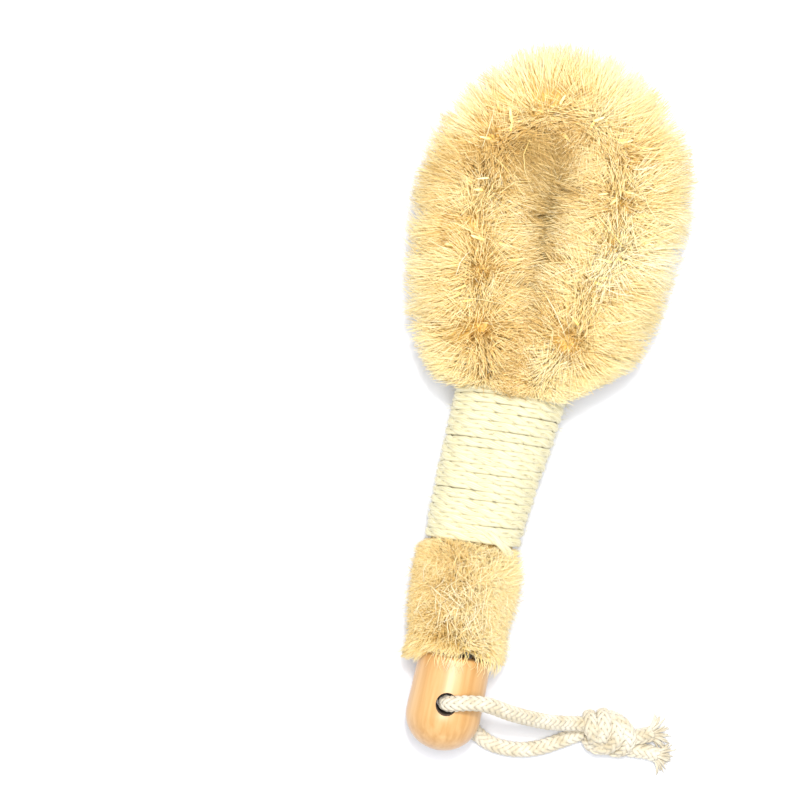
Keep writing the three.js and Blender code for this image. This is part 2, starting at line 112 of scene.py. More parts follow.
def surface(material, **sockets):
    """Fills inputs of the material's shader."""
    shader = material.node_tree.nodes["Principled BSDF"]
    fill_inputs(material, shader, {name.replace("_", " "): value for name, value in sockets.items()})


def new_material(name, **sockets):
    """A material whose shader inputs hold the values that are the same all over the surface."""
    material = bpy.data.materials.new(name)
    material.use_nodes = True
    surface(material, **sockets)
    return material


print("black and white become", linear("#000000"), linear("#ffffff"))

# %% [markdown]
# ## Floor and light
# The brush lies in a light tent: a white table, white walls and two lamps above the camera. A pale world
# gives the light that comes from every side. The large lamp shines along the view, so that little shadow
# shows between the fibres. The small one stands higher up in the picture and draws the faint shadow
# beside the cord.

# %% Floor and light
FLOOR_HALF_SIDE = 4.0
FLOOR_CORNERS = ((-1, -1), (1, -1), (1, 1), (-1, 1))
WORLD_STRENGTH = 0.62
LAMPS = {"soft_box": (0.8, 23.0, (-0.02, 0.05, 1.55)), "spot_box": (0.14, 12.0, (-0.06, 0.33, 1.5))}

floor_mesh = bpy.data.meshes.new("paper_floor")
floor_corners = [(x * FLOOR_HALF_SIDE, y * FLOOR_HALF_SIDE, 0.0) for x, y in FLOOR_CORNERS]
floor_mesh.from_pydata(floor_corners, [], [(0, 1, 2, 3)])
floor = bpy.data.objects.new("paper_floor", floor_mesh)
bpy.context.scene.collection.objects.link(floor)
floor_mesh.materials.append(
    new_material("white_paper", Base_Color=linear("#E0E1E4"), Roughness=0.9, Specular_IOR_Level=0.1))

world = bpy.data.worlds.new("light_tent")
world.use_nodes = True
world.node_tree.nodes["Background"].inputs["Color"].default_value = linear("#F4F7FF")
world.node_tree.nodes["Background"].inputs["Strength"].default_value = WORLD_STRENGTH
bpy.context.scene.world = world

for lamp_name, (lamp_size, lamp_watts, (lamp_x, lamp_y, lamp_z)) in LAMPS.items():
    lamp_data = bpy.data.lights.new(lamp_name, "AREA")
    lamp_data.shape = "DISK"
    lamp_data.size = lamp_size
    lamp_data.energy = lamp_watts
    lamp = bpy.data.objects.new(lamp_name, lamp_data)
    lamp.location = (lamp_x, lamp_y, lamp_z)
    lamp.rotation_euler = (-math.atan2(lamp_y, lamp_z), math.atan2(lamp_x, lamp_z), 0.0)
    bpy.context.scene.collection.objects.link(lamp)
bpy.context.scene.view_settings.view_transform = "Standard"
print("lamps", list(LAMPS))

# %% [markdown]
# ## Lines and directions
# A cord, a wire and a strand of twine are all a profile carried along a path. The path is a smooth line
# through a few measured points, and at every step of it stand two directions square to the path. Places
# along the brush are given as stations, in millimetres from the end of the knob. Everything is worked out
# as whole arrays.

# %% Lines and directions
MM = 0.001
KNOB_TIP = -130.0
UP = np.array([0.0, 0.0, 1.0])
STEPS_PER_STRETCH = 48


def in_frame(points):
    """Millimetres from the end of the knob become metres in the part's frame."""
    return (np.asarray(points, float) + (0.0, KNOB_TIP, 0.0)) * MM


def station_of(points):
    """Millimetres from the end of the knob, of points in the frame."""
    return points[..., 1] / MM - KNOB_TIP


def at_station(station):
    """The frame's y of a station."""
    return (station + KNOB_TIP) * MM


def unit(vectors):
    """Vectors divided by their lengths."""
    return vectors / np.linalg.norm(vectors, axis=-1, keepdims=True)


def turned_by(angle, first, second):
    """The direction first * cos(angle) + second * sin(angle)."""
    return first * np.cos(angle)[:, None] + second * np.sin(angle)[:, None]


def curve(t, first, middle, last):
    """The curve (1-t)^2 first + 2t(1-t) middle + t^2 last."""
    return (1 - t) ** 2 * first + 2 * t * (1 - t) * middle + t**2 * last


def smooth_step(value, low, high):
    """0 below low, 1 above high, 3t^2 - 2t^3 between."""
    t = np.clip((value - low) / (high - low), 0.0, 1.0)
    return t * t * (3 - 2 * t)


def line_lengths(line):
    """Length travelled from the first point to each point."""
    return np.concatenate([[0.0], np.cumsum(np.linalg.norm(np.diff(line, axis=0), axis=1))])


def along_line(distance, travelled, values):
    """Values given at travelled lengths, read off at other distances."""
    return np.stack([np.interp(distance, travelled, column) for column in values.T], axis=-1)


def smooth_line(points, spacing):
    """Evenly spaced points on a smooth line through given points. Each stretch is a cubic whose end slopes
    come from its neighbours, weighted by the square root of the distances (a centripetal spline)."""
    given = np.asarray(points, float)
    padded = np.vstack([2 * given[0] - given[1], given, 2 * given[-1] - given[-2]])
    knot = np.sqrt(np.linalg.norm(np.diff(padded, axis=0), axis=1))[:, None]
    before, start, end, after = padded[:-3], padded[1:-2], padded[2:-1], padded[3:]
    first, middle, last = knot[:-2], knot[1:-1], knot[2:]
    rise = (end - start) / middle
    leave = middle * ((start - before) / first - (end - before) / (first + middle) + rise)
    arrive = middle * (rise - (after - start) / (middle + last) + (after - end) / last)
    t = np.linspace(0.0, 1.0, STEPS_PER_STRETCH, endpoint=False)[None, :, None]
    square = 3 * (end - start) - 2 * leave - arrive
    cube = 2 * (start - end) + leave + arrive
    dense = start[:, None] + leave[:, None] * t + square[:, None] * t**2 + cube[:, None] * t**3
    dense = np.vstack([dense.reshape(-1, 3), given[-1:]])
    travelled = line_lengths(dense)
    even = np.linspace(0.0, travelled[-1], max(2, round(travelled[-1] / spacing)) + 1)
    return along_line(even, travelled, dense)


def square_frame(line, guide):
    """Two unit directions square to a line: the part of a guide that is square to it, and their cross."""
    tangent = unit(np.gradient(line, axis=-2))
    side = unit(guide - np.sum(guide * tangent, axis=-1, keepdims=True) * tangent)
    return side, np.cross(tangent, side)


print("the knob ends at", KNOB_TIP, "mm")

# %% [markdown]
# ## Grids, tubes and pieces
# A ring of points laid on the two directions makes one row of a grid, and the rows make a tube. A piece
# is a mesh of one or more such parts. It rides on a body of the CAD model and takes the place of a node.
# The bound legs of the brush are bent a little to the left, so every piece of them is shifted in the same
# way.

# %% Grids, tubes and pieces
SWAY = -2.7
SWAY_START = (35.0, 50.0)
SWAY_END = (80.0, 140.0)


def grid_triangles(rows, columns):
    """Two triangles for each cell of a grid whose last column joins its first, and a map from 0 to 1."""
    row, column = np.meshgrid(np.arange(rows - 1), np.arange(columns), indexing="ij")
    after = (column + 1) % columns
    a, b = row * columns + column, row * columns + after
    faces = np.stack([a, b, b + columns, a, b + columns, a + columns], axis=-1).reshape(-1, 3)
    u = np.stack([column, column + 1, column + 1, column, column + 1, column], axis=-1) / columns
    v = np.stack([row, row, row + 1, row, row + 1, row + 1], axis=-1) / (rows - 1)
    return faces, np.stack([u, v], axis=-1).reshape(-1, 3, 2)


def closed_grid(rings, ends, cap_place=0.5):
    """Points, triangles and map of a grid of rings, closed at both ends by a fan round an end point."""
    rows, columns = rings.shape[:2]
    faces, uv = grid_triangles(rows, columns)
    ring = np.arange(columns)
    after = (ring + 1) % columns
    foot, last = rows * columns, (rows - 1) * columns
    caps = [np.stack([after, ring, np.full(columns, foot)], axis=-1),
            np.stack([last + ring, last + after, np.full(columns, foot + 1)], axis=-1)]
    points = np.vstack([rings.reshape(-1, 3), ends])
    return points, np.vstack([faces, *caps]), np.vstack([uv, np.full((2 * columns, 3, 2), cap_place)])


def tube(line, side, other, half_width, half_height, corners):
    """A closed tube: ring point = line + side * half_width * cos(t) + other * half_height * sin(t)."""
    angle = 2 * np.pi * np.arange(corners) / corners
    across = np.broadcast_to(half_width, (len(line), corners)) * np.cos(angle)
    upward = np.broadcast_to(half_height, (len(line), corners)) * np.sin(angle)
    rings = line[:, None] + side[:, None] * across[..., None] + other[:, None] * upward[..., None]
    return closed_grid(rings, line[[0, -1]])


def swayed(points):
    """The bound legs are bent a little to the left between the knob and the head."""
    station = station_of(points)
    shift = SWAY * smooth_step(station, *SWAY_START) * (1 - smooth_step(station, *SWAY_END))
    return points + shift[:, None] * (MM, 0.0, 0.0)


def add_piece(name, node, parts, material, body="brush", with_uv=True):
    """One smooth mesh object from parts of points, triangles and map. It rides on a body for a node."""
    starts = np.cumsum([0] + [len(part[0]) for part in parts])
    points = np.vstack([part[0] for part in parts])
    points = (swayed(points) if body == "brush" else points).astype(np.float32)
    faces = np.vstack([part[1] + start for part, start in zip(parts, starts)]).astype(np.int32)
    mesh = bpy.data.meshes.new(name)
    mesh.vertices.add(len(points))
    mesh.vertices.foreach_set("co", points.ravel())
    mesh.loops.add(faces.size)
    mesh.loops.foreach_set("vertex_index", faces.ravel())
    mesh.polygons.add(len(faces))
    mesh.polygons.foreach_set("loop_start", np.arange(0, faces.size, 3, dtype=np.int32))
    mesh.polygons.foreach_set("use_smooth", np.ones(len(faces), bool))
    if with_uv:
        uv = np.vstack([part[2] for part in parts]).astype(np.float32)
        mesh.uv_layers.new(name="OFBake").data.foreach_set("uv", uv.ravel())
    mesh.update()
    mesh.validate()
    mesh.materials.append(material)
    piece = bpy.data.objects.new(name, mesh)
    bpy.context.scene.collection.objects.link(piece)
    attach(piece, body)
    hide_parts(node)
    print(name, len(faces), "triangles")
    return piece


# %% [markdown]
# ## The cotton finish
# The cord is braided from unbleached cotton yarn. Cotton is matt and a little fuzzy, so it gets a rough
# surface, a soft sheen, and a fine mottle of cream and straw. The yarns themselves are real geometry, so
# the bump only has to give the hairiness of the yarn.

# %% Cotton
FUZZ_SIZE = 0.5 * MM
FUZZ_HEIGHT = 0.15 * MM
MOTTLE_SIZE = 6.0 * MM
cotton = new_material("unbleached_cotton", Sheen_Weight=0.25, Sheen_Roughness=0.6)
cotton_place = add_node(cotton, "ShaderNodeTexCoord", output="Object")
mottle = add_node(
    cotton, "ShaderNodeTexNoise", {"Vector": cotton_place, "Scale": 1.0 / MOTTLE_SIZE, "Detail": 4.0})
fuzz = add_node(
    cotton, "ShaderNodeTexNoise", {"Vector": cotton_place, "Scale": 1.0 / FUZZ_SIZE, "Detail": 2.0})
surface(
    cotton,
    Base_Color=add_node(cotton, "ShaderNodeValToRGB", {"Fac": mottle},
                        stops=[(0.3, "#BEB091"), (0.5, "#CFC5AD"), (0.7, "#DCD5C3")]),
    Roughness=add_node(cotton, "ShaderNodeMapRange", {"Value": fuzz, "To Min": 0.8, "To Max": 1.0}),
    Normal=add_node(cotton, "ShaderNodeBump", {"Height": fuzz, "Strength": 0.5, "Distance": FUZZ_HEIGHT}))
print("cotton fuzz", FUZZ_SIZE / MM, "mm")

# %% [markdown]
# ## The hanging cord
# The cord goes down through the knob's cross hole, and both its ends run to one knot on the right. It is
# a braid of twelve flat yarns, six winding each way, and each yarn goes over two others and under two. So
# a yarn is a helix whose distance from the middle of the cord swells and shrinks with the crossings.

# %% Braided cord
BRAID_LAY = 15.0 * MM
BRAID_YARNS = 6
BRAID_RADIUS = 2.2 * MM
BRAID_WAVE = 0.36 * MM
BRAID_CORE = BRAID_RADIUS - BRAID_WAVE
YARN_HALF_WIDTH = 0.88 * MM
YARN_HALF_HEIGHT = 0.44 * MM
YARN_CORNERS = 6
CORE_CORNERS = 10
BRAID_STEP = 0.5 * MM
FRONT_ROUTE = in_frame([
    (0, 18, 20.2), (0, 18, 24.5), (0, 18, 29.2), (0.9, 18.4, 33.6), (3.5, 19.3, 36.4), (7.4, 20.4, 37.4),
    (11.5, 21, 37), (15.4, 20.9, 35.6), (23, 19.4, 30.6), (30.9, 18.4, 23.6), (38.7, 17.9, 16.8),
    (46.3, 18.5, 11.2), (52.5, 19.4, 9)])
BACK_ROUTE = in_frame([
    (0, 18, 19.8), (0, 18, 15.5), (0, 18, 10.4), (0.6, 17.5, 6.4), (2.6, 15.9, 3.9), (5.7, 13.4, 3.1),
    (10.4, 9.6, 3.1), (15, 6.6, 3.1), (19.2, 4.8, 3.1), (24, 4.1, 3.1), (30.9, 4.6, 3.1), (37.9, 6.9, 3.1),
    (44.6, 10.8, 3.1), (50.6, 14.6, 3.3), (54, 16.6, 3.7)])
ACROSS_ROUTES = np.array([0.0, 1.0, 0.0])


def braid(line, guide):
    """Twelve yarns on a line. A yarn's middle = line + r(s) * (side * cos(turn) + other * sin(turn)), with
    turn = direction * 2 pi s / lay + its own start, and r = radius + wave * cos(pi / 2 * crossings passed),
    shifted so that a yarn is outside at two crossings and inside at the next two."""
    side, other = square_frame(line, guide)
    travelled = line_lengths(line)
    crossing = 2 * BRAID_YARNS * travelled / BRAID_LAY
    parts = [tube(line, side, other, BRAID_CORE, BRAID_CORE, CORE_CORNERS)]
    for direction in (1, -1):
        for yarn in range(BRAID_YARNS):
            turn = direction * 2 * np.pi * travelled / BRAID_LAY + 2 * np.pi * yarn / BRAID_YARNS
            outside = direction * np.cos(np.pi / 2 * (crossing + direction * (2 * yarn - 0.5)))
            outward = turned_by(turn, side, other)
            middle = line + outward * (BRAID_RADIUS + BRAID_WAVE * outside)[:, None]
            up, across = square_frame(middle, outward)
            parts.append(tube(middle, up, across, YARN_HALF_HEIGHT, YARN_HALF_WIDTH, YARN_CORNERS))
    return parts


def add_cord(name, node, parts):
    """A piece of the cotton cord, on the body that swings."""
    return add_piece(name, node, parts, cotton, body="hanging_loop", with_uv=False)


front_line = smooth_line(FRONT_ROUTE, BRAID_STEP)
back_line = smooth_line(BACK_ROUTE, BRAID_STEP)
front_cord = add_cord("cord_front", "cord_front_strand", braid(front_line, ACROSS_ROUTES))
back_cord = add_cord("cord_back", "cord_back_strand", braid(back_line, ACROSS_ROUTES))

# %% [markdown]
# ## The knot
# Both ends of the cord are tied together in one overhand knot. From above four turns show: two side by
# side over the top, one that wraps them from below, and one round the right end. Each is a stretch of the
# same braid on its own line. The lines are given in the picture's own directions, right and up, from the
# knot's middle.

# %% Knot
KNOT_CENTRE = in_frame([(60.5, 18, 0)])[0]
PICTURE_RIGHT = np.array([math.cos(VIEW_TURN), math.sin(VIEW_TURN), 0.0])
PICTURE_UP = np.array([-math.sin(VIEW_TURN), math.cos(VIEW_TURN), 0.0])
KNOT_TURNS = [
    [(-4.2, 2.2, 3.2), (-5.8, 4.4, 3.3), (-6.3, 5.4, 6), (-6.3, 4.7, 9.6), (-6.1, 3, 11.8), (-5.8, 1, 12.2),
     (-5, -1, 11.2), (-4.3, -3, 8.8), (-3.8, -4.2, 6)],
    [(-1, 2.6, 3.2), (-1.2, 5, 3.5), (-1.3, 6, 6.4), (-1.3, 5, 10), (-1.3, 3.2, 12), (-1.4, 1.2, 12.3),
     (-1.7, -0.9, 11.3), (-2, -2.8, 9), (-2.2, -4.2, 6)],
    [(0.2, 4.8, 5), (1.4, 4.2, 8.2), (2.9, 2.2, 10.4), (3.6, -0.6, 11), (2.7, -3.2, 10.4), (0.6, -5, 9.2),
     (-2.4, -5.6, 8), (-5, -4.9, 6.6), (-6.8, -3.2, 4.6)],
    [(0.8, 5, 4), (2, 4.8, 7), (4.3, 3.8, 9.2), (6.6, 1.4, 9.8), (7.7, -1.6, 9), (7, -4.9, 7.2),
     (4.9, -6.8, 5.2), (2, -6.6, 3.6), (-0.6, -5.4, 3)],
]
KNOT_FILL = (6.6 * MM, 4.6 * MM, 4.6 * MM)
KNOT_FILL_HEIGHT = 7.2 * MM
KNOT_FILL_GRID = (14, 20)
POLE_GAP = 0.06


def oval_body(centre, axes, rows, columns):
    """An oval of rings: centre + a cos(p) along, b sin(p) cos(t) across and c sin(p) sin(t) up."""
    polar = np.linspace(POLE_GAP, np.pi - POLE_GAP, rows)
    line = centre + np.cos(polar)[:, None] * PICTURE_RIGHT * -axes[0]
    side = np.broadcast_to(PICTURE_UP, line.shape)
    other = np.cross(np.broadcast_to(PICTURE_RIGHT, line.shape), side)
    wide = np.sin(polar)[:, None]
    return tube(line, side, other, axes[1] * wide, axes[2] * wide, columns)


knot_parts = [oval_body(KNOT_CENTRE + (0, 0, KNOT_FILL_HEIGHT), KNOT_FILL, *KNOT_FILL_GRID)]
for turn_points in KNOT_TURNS:
    turn_points = np.array(turn_points, float) * MM
    turn_line = KNOT_CENTRE + turn_points[:, :1] * PICTURE_RIGHT + turn_points[:, 1:2] * PICTURE_UP
    turn_line[:, 2] = turn_points[:, 2]
    knot_parts += braid(smooth_line(turn_line, BRAID_STEP), PICTURE_RIGHT)
cord_knot = add_cord("cord_overhand_knot", "cord_knot", knot_parts)

# %% [markdown]
# ## The cord's two ends
# Past the knot the two ends run on for about two centimetres and fray. A tail is the same braid, and its
# fray is a fan of loose yarns. They start inside the braid, spread out and sink to the table.

# %% Cord tails
UPPER_TAIL = in_frame([(64.5, 18.5, 7.2), (69.6, 18, 6), (73, 18.7, 5), (75.6, 19.8, 4.1), (77, 20.4, 3.7)])
LOWER_TAIL = in_frame([
    (64.5, 14.4, 3.6), (71.2, 13.2, 3.1), (75.9, 13.6, 3.1), (79.4, 13.3, 3.1), (80.8, 13, 3.1)])
FRAY_YARNS = 30
FRAY_FAN = 0.95
FRAY_RADIUS = 0.62 * MM
FRAY_RINGS = 9
FRAY_FLOOR = 0.5 * MM
FRAY_SPREAD = 0.5 * MM
FRAY_HEIGHT_SPREAD = 0.7 * MM
FRAY_SINK = 0.45
FRAY_ROW = -4
FRAY_ROOT_WIDTH, FRAY_ROOT_HEIGHT = 0.8, 0.6
FRAY_LENGTHS = (0.75, 1.15)
FRAY_SIZES = (0.6, 1.0)
FRAY_AHEAD = 0.6
FRAY_BEND_SHARE = 0.5
FRAY_TAPER = 0.55


def cord_tail(name, route, node, seed, fray_length):
    """A braid with loose yarns in a fan: direction = ahead * cos(a) + sideways * sin(a), bending out of the
    braid and sinking to the table."""
    draw = np.random.default_rng(seed)
    line = smooth_line(route, BRAID_STEP)
    sideways = square_frame(line, UP)[1][-1]
    ahead = unit(line[-1] - line[FRAY_ROW])
    angle = draw.uniform(-FRAY_FAN, FRAY_FAN, FRAY_YARNS)[:, None]
    way = ahead * np.cos(angle) + sideways * np.sin(angle)
    length = fray_length * draw.uniform(*FRAY_LENGTHS, FRAY_YARNS)[:, None]
    root = line[FRAY_ROW] + sideways * np.sin(angle) * BRAID_RADIUS * FRAY_ROOT_WIDTH
    lift = draw.uniform(-FRAY_ROOT_HEIGHT, FRAY_ROOT_HEIGHT, FRAY_YARNS)[:, None]
    root = root + UP * BRAID_RADIUS * lift
    bend = root + (FRAY_AHEAD * ahead + (1 - FRAY_AHEAD) * way) * length * FRAY_BEND_SHARE
    tip = root + way * length + draw.normal(0.0, FRAY_SPREAD, (FRAY_YARNS, 3))
    sunk = FRAY_SINK * root[:, 2] + draw.normal(0.0, FRAY_HEIGHT_SPREAD, FRAY_YARNS)
    tip[:, 2] = np.maximum(sunk, FRAY_FLOOR)
    t = np.linspace(0.0, 1.0, FRAY_RINGS)[:, None]
    taper = FRAY_RADIUS * (1 - FRAY_TAPER * t**2)
    fray = []
    for first, middle, last, size in zip(root, bend, tip, draw.uniform(*FRAY_SIZES, FRAY_YARNS)):
        yarn = curve(t, first, middle, last)
        fray.append(tube(yarn, *square_frame(yarn, UP), taper * size, taper * size, YARN_CORNERS))
    return add_cord(name, node, braid(line, UP) + fray)


upper_tail = cord_tail("cord_end_upper", UPPER_TAIL, "cord_tail_upper", seed=21, fray_length=8.0 * MM)
lower_tail = cord_tail("cord_end_lower", LOWER_TAIL, "cord_tail_lower", seed=22, fray_length=6.2 * MM)

# %% [markdown]
# ## The cord's two stretches
# The cord has two free stretches between the knob and the knot, the front one and the back one.

# %% Cord facts
print("two stretches of cord")

# %% [markdown]
# ## The line of the wires
# Both wires follow one line: from the knob up a leg, round the loop and down the other leg. Every bristle
# starts on it, so its frame, outward and upward at each step, is worked out once. So is the room that the
# inward bristles have before they meet those from the other side: the radius of the circle that touches
# the line at a point and just reaches another part of it.

# %% Wire line
HANDLE_HEIGHT = 20.0
HEAD_HEIGHT = 25.0
RISE_START = 75.5
RISE_END = 170.0
WIRE_STEP = 0.5 * MM
RIGHT_HALF = np.array([
    (4.4, 27.7), (4.4, 40.5), (5.4, 56), (6.5, 79.5), (6.5, 125), (10.6, 143), (17.4, 160), (22.5, 178),
    (24.6, 198), (22.6, 214), (14.8, 227), (0, 235.2)])


def wire_height(station):
    """Level along the handle, then a smooth step up to the head."""
    return HANDLE_HEIGHT + (HEAD_HEIGHT - HANDLE_HEIGHT) * smooth_step(station, RISE_START, RISE_END)


right_points = np.column_stack([RIGHT_HALF, wire_height(RIGHT_HALF[:, 1])])
wire_points = np.vstack([right_points[:-1] * (-1, 1, 1), right_points[::-1]])
wire_line = smooth_line(in_frame(wire_points), WIRE_STEP)
wire_travel = line_lengths(wire_line)
WIRE_LENGTH = float(wire_travel[-1])
wire_along = unit(np.gradient(wire_line, axis=0))
wire_outward = unit(np.cross(UP, wire_along))
wire_upward = np.cross(wire_along, wire_outward)
wire_station = station_of(wire_line)

chord = wire_line[None, :, :2] - wire_line[:, None, :2]
inward_reach = np.einsum("ijk,ik->ij", chord, -wire_outward[:, :2])
touching = np.sum(chord**2, axis=2) / (2 * np.maximum(inward_reach, 1e-9))
wire_room = np.min(np.where(inward_reach > 1e-6, touching, 1.0), axis=1)


def at_wires(place, *values):
    """Values given along the wires, read off at places on them."""
    return [along_line(place, wire_travel, value) for value in values]


print("wire", round(WIRE_LENGTH / MM, 1), "mm, room", round(float(wire_room.max()) / MM, 1), "mm")

# %% [markdown]
# ## The fibre finish
# The bristles are a stiff plant fibre, cut from an agave leaf, combed and trimmed. Each is straw to gold,
# and pale at its cut tip. The surface map gives both: the column picks the tone of one fibre, the row
# pales it towards the tip.

# %% Agave fibre
def fibre_material(name, stops, tip_colour, tip_share):
    """A ramp of tones across the map's columns, mixed to a tip colour along its rows, dark tones less."""
    material = new_material(name, Specular_IOR_Level=0.35)
    place = add_node(material, "ShaderNodeUVMap", uv_map="OFBake")
    column = add_node(material, "ShaderNodeSeparateXYZ", {0: place})
    row = column.node.outputs["Y"]
    tone = add_node(material, "ShaderNodeValToRGB", {"Fac": column}, stops=stops)
    pale_along = add_node(material, "ShaderNodeMapRange",
                          {"Value": row, "From Min": 0.3, "To Min": 0.0, "To Max": tip_share})
    pale_tone = add_node(
        material, "ShaderNodeMapRange", {"Value": column, "From Min": 0.05, "From Max": 0.5})
    pale = add_node(material, "ShaderNodeMath", {0: pale_along, 1: pale_tone}, operation="MULTIPLY")
    surface(
        material,
        Base_Color=add_node(material, "ShaderNodeMix", {0: pale, 6: tone, 7: linear(tip_colour)}, output=2,
                            data_type="RGBA"),
        Roughness=add_node(material, "ShaderNodeMapRange", {"Value": column, "To Min": 0.6, "To Max": 0.42}))
    return material


agave_fibre = fibre_material(
    "combed_agave_fibre",
    [(0.0, "#BC9C60"), (0.2, "#E8BE64"), (0.45, "#F6CF70"), (0.7, "#FCE18C"), (1.0, "#FFF7DC")],
    "#FFF5D0", 0.58)
crushed_agave = fibre_material(
    "crushed_agave_fibre",
    [(0.0, "#8E7448"), (0.3, "#C2A468"), (0.6, "#E0C88E"), (1.0, "#F4E8C2")], "#F0E0B0", 0.35)
print("two fibre finishes")

# %% [markdown]
# ## Fibres, thousands at a time
# A bristle and a stray hair are the same shape: a thin tapered stalk on a gently bent line. All the
# stalks of a piece are worked out together. Each has four rings of three points, the last one small, and
# a flat cap at both ends: twenty triangles in all. A blunt tip is shaded like its sides, a point would
# not be. Its own column of the surface map carries its tone, and the row says how far along it is, so one
# material can colour every stalk differently and pale its tip. Most stalks stand in tufts, and some stand
# freely.

# %% Fibre stalks
RING_SHARE = np.array([0.0, 0.4, 0.75, 1.0])
RING_TAPER = np.array([1.0, 0.95, 0.8, 0.35])
STALK_POINTS = 12
STALK_FACES = np.array(
    [corner for ring in (0, 3, 6) for k in range(3) for corner in (
        (ring + k, ring + (k + 1) % 3, ring + (k + 1) % 3 + 3),
        (ring + k, ring + (k + 1) % 3 + 3, ring + k + 3))]
    + [(9, 10, 11), (0, 2, 1)])
COLUMN_HALF_WIDTH = 0.004
LEVEL_SPREAD = 0.25
POINTS_DOWN = -0.1
TONE_LIMITS = (0.02, 0.98)
THICKNESS_RANGE = (0.75, 1.2)


def stalks(root, bend, tip, radius, tone, draw):
    """Stalks on the curves from root over bend to tip: triangular rings at four shares of the length and a
    flat cap at both ends. A stalk turns a side up, or down if it points down."""
    count = len(root)
    axis = curve(RING_SHARE[None, :, None], root[:, None], bend[:, None], tip[:, None])
    along = unit(tip - root)
    level = unit(np.cross(along, UP + draw.normal(0.0, LEVEL_SPREAD, (count, 3))))
    first = np.cross(along, level) * np.where(along[:, 2:] < POINTS_DOWN, -1.0, 1.0)
    second = np.cross(along, first)
    spoke = turned_by(2 * np.pi * np.arange(3) / 3, first[:, None], second[:, None])
    thickness = np.broadcast_to(radius, count)[:, None] * RING_TAPER
    rings = axis[:, :, None] + spoke[:, None] * thickness[:, :, None, None]
    column = np.tile([-1.0, 0.0, 1.0], len(RING_SHARE)) * COLUMN_HALF_WIDTH
    row = np.broadcast_to(np.repeat(RING_SHARE, 3), (count, STALK_POINTS))
    uv = np.stack([tone[:, None] + column, row], axis=-1)
    faces = STALK_FACES + STALK_POINTS * np.arange(count)[:, None, None]
    return rings.reshape(-1, 3), faces.reshape(-1, 3), uv[:, STALK_FACES].reshape(-1, 3, 2)


def standing(draw, tuft_place, tuft_angle, stretch, count, free_share, in_tuft):
    """Where fibres stand: the tuft of each, whether it stands freely, its place and its angle. A free fibre
    may be anywhere on the stretch. The others keep close to their tuft, with a spread of place and angle."""
    tuft = draw.integers(0, len(tuft_place), count)
    free = draw.random(count) < free_share
    anywhere = draw.uniform(*stretch, count)
    place = np.where(free, anywhere, tuft_place[tuft] + draw.normal(0.0, in_tuft[0], count))
    any_angle = draw.uniform(-np.pi, np.pi, count)
    angle = np.where(free, any_angle, tuft_angle[tuft] + draw.normal(0.0, in_tuft[1], count))
    return tuft, free, np.clip(place, *stretch), angle


def above_floor(root, bend, tip, floor):
    """A stalk that would pass under the floor is cut there, and its bend drawn in by the same share."""
    share = (root[:, 2] - floor) / np.maximum(root[:, 2] - tip[:, 2], 1e-6)
    share = np.where(tip[:, 2] < floor, share, 1.0)[:, None]
    bend = root + (bend - root) * share
    bend[:, 2] = np.maximum(bend[:, 2], floor)
    return bend, root + (tip - root) * share


print("triangles in a stalk", len(STALK_FACES))

# %% [markdown]
# ## The packed roots
# Near the wires the fibres are packed so tightly that no single one shows. That part is a lumpy
# tube round the line of the wires. It keeps light from falling through the bristles, so the gaps between
# them are gold instead of black.

# %% Packed roots
CORE_LUMP = 0.12
CORE_DIP = 0.32
CORE_END = 0.15
CORE_COLUMNS = 40
CORE_STEP = 1.0 * MM
CORE_PAST_ROOM = 1.0 * MM
CORE_TONE_WIDTH = 0.1
CORE_ROWS = (0.1, 0.2)


def packed_core(low, high, zone, radius, taper, tone, draw):
    """Ring point = line + r (outward cos t + upward sin t), where r is the radius times one plus a little
    noise. It is less under the parting, tapers to the ends of the zone and keeps to the room in the loop."""
    places = np.linspace(low, high, round((high - low) / CORE_STEP))
    line, out, up = at_wires(places, wire_line, wire_outward, wire_upward)
    turn = 2 * np.pi * np.arange(CORE_COLUMNS) / CORE_COLUMNS
    room = np.interp(places, wire_travel, wire_room)[:, None]
    r = np.where(np.cos(turn) < 0, np.minimum(radius, room + CORE_PAST_ROOM), radius)
    r *= 1 - CORE_DIP * np.sin(turn) ** 2
    from_end = np.minimum(places - zone[0], zone[1] - places)[:, None]
    r *= CORE_END + (1 - CORE_END) * smooth_step(from_end, 0.0, taper)
    r = r * (1 + CORE_LUMP * draw.uniform(-1.0, 1.0, r.shape))
    points, faces, uv = tube(line, out, up, r, r, CORE_COLUMNS)
    uv[..., 0] = tone + CORE_TONE_WIDTH * (uv[..., 0] - 0.5)
    uv[..., 1] = CORE_ROWS[0] + CORE_ROWS[1] * uv[..., 1]
    return points, faces, uv


print("core lump", CORE_LUMP)

# %% [markdown]
# ## The head bristles
# The fibres stand all round the wires and are trimmed to one length, about 25 mm. They part along the
# line of the wires, so that most lean outwards to the fringe or inwards to a seam down the middle, and
# only those near the parting point up. They stick together in thin tufts, and neighbouring tufts in
# locks, which share a tone and a lean. The twist of the wires gathers the roots in bunches about two
# centimetres apart, so the fibres spread from each bunch like a whorl.

# %% Where the head bristles stand
HEAD_START = 132.0
HEAD_FIBRES = 56000
FREE_SHARE = 0.2
FREE_LIKENESS = 0.35
IN_TUFT = (0.5 * MM, 0.08)
TUFTS = 3600
TUFT_LEAN, TUFT_PART, TUFT_TONE, TUFT_LENGTH = 0.1, 0.14, 0.12, 0.03
UNDERSIDE = (-2.44, -0.7)
MORE_ABOVE = 0.4
UPRIGHT_SHARE = 0.12
UPRIGHT_SPREAD = 0.3
LOCKS = 420
LOCK_SPAN = (4.0 * MM, 0.4)
LOCK_TONE, LOCK_LEAN, LOCK_LENGTH = 0.17, 0.12, 0.015
BUNCHES = 14
BUNCH_SHIFT = 3.5 * MM
BUNCH_PART = 0.2
GATHER = 0.58

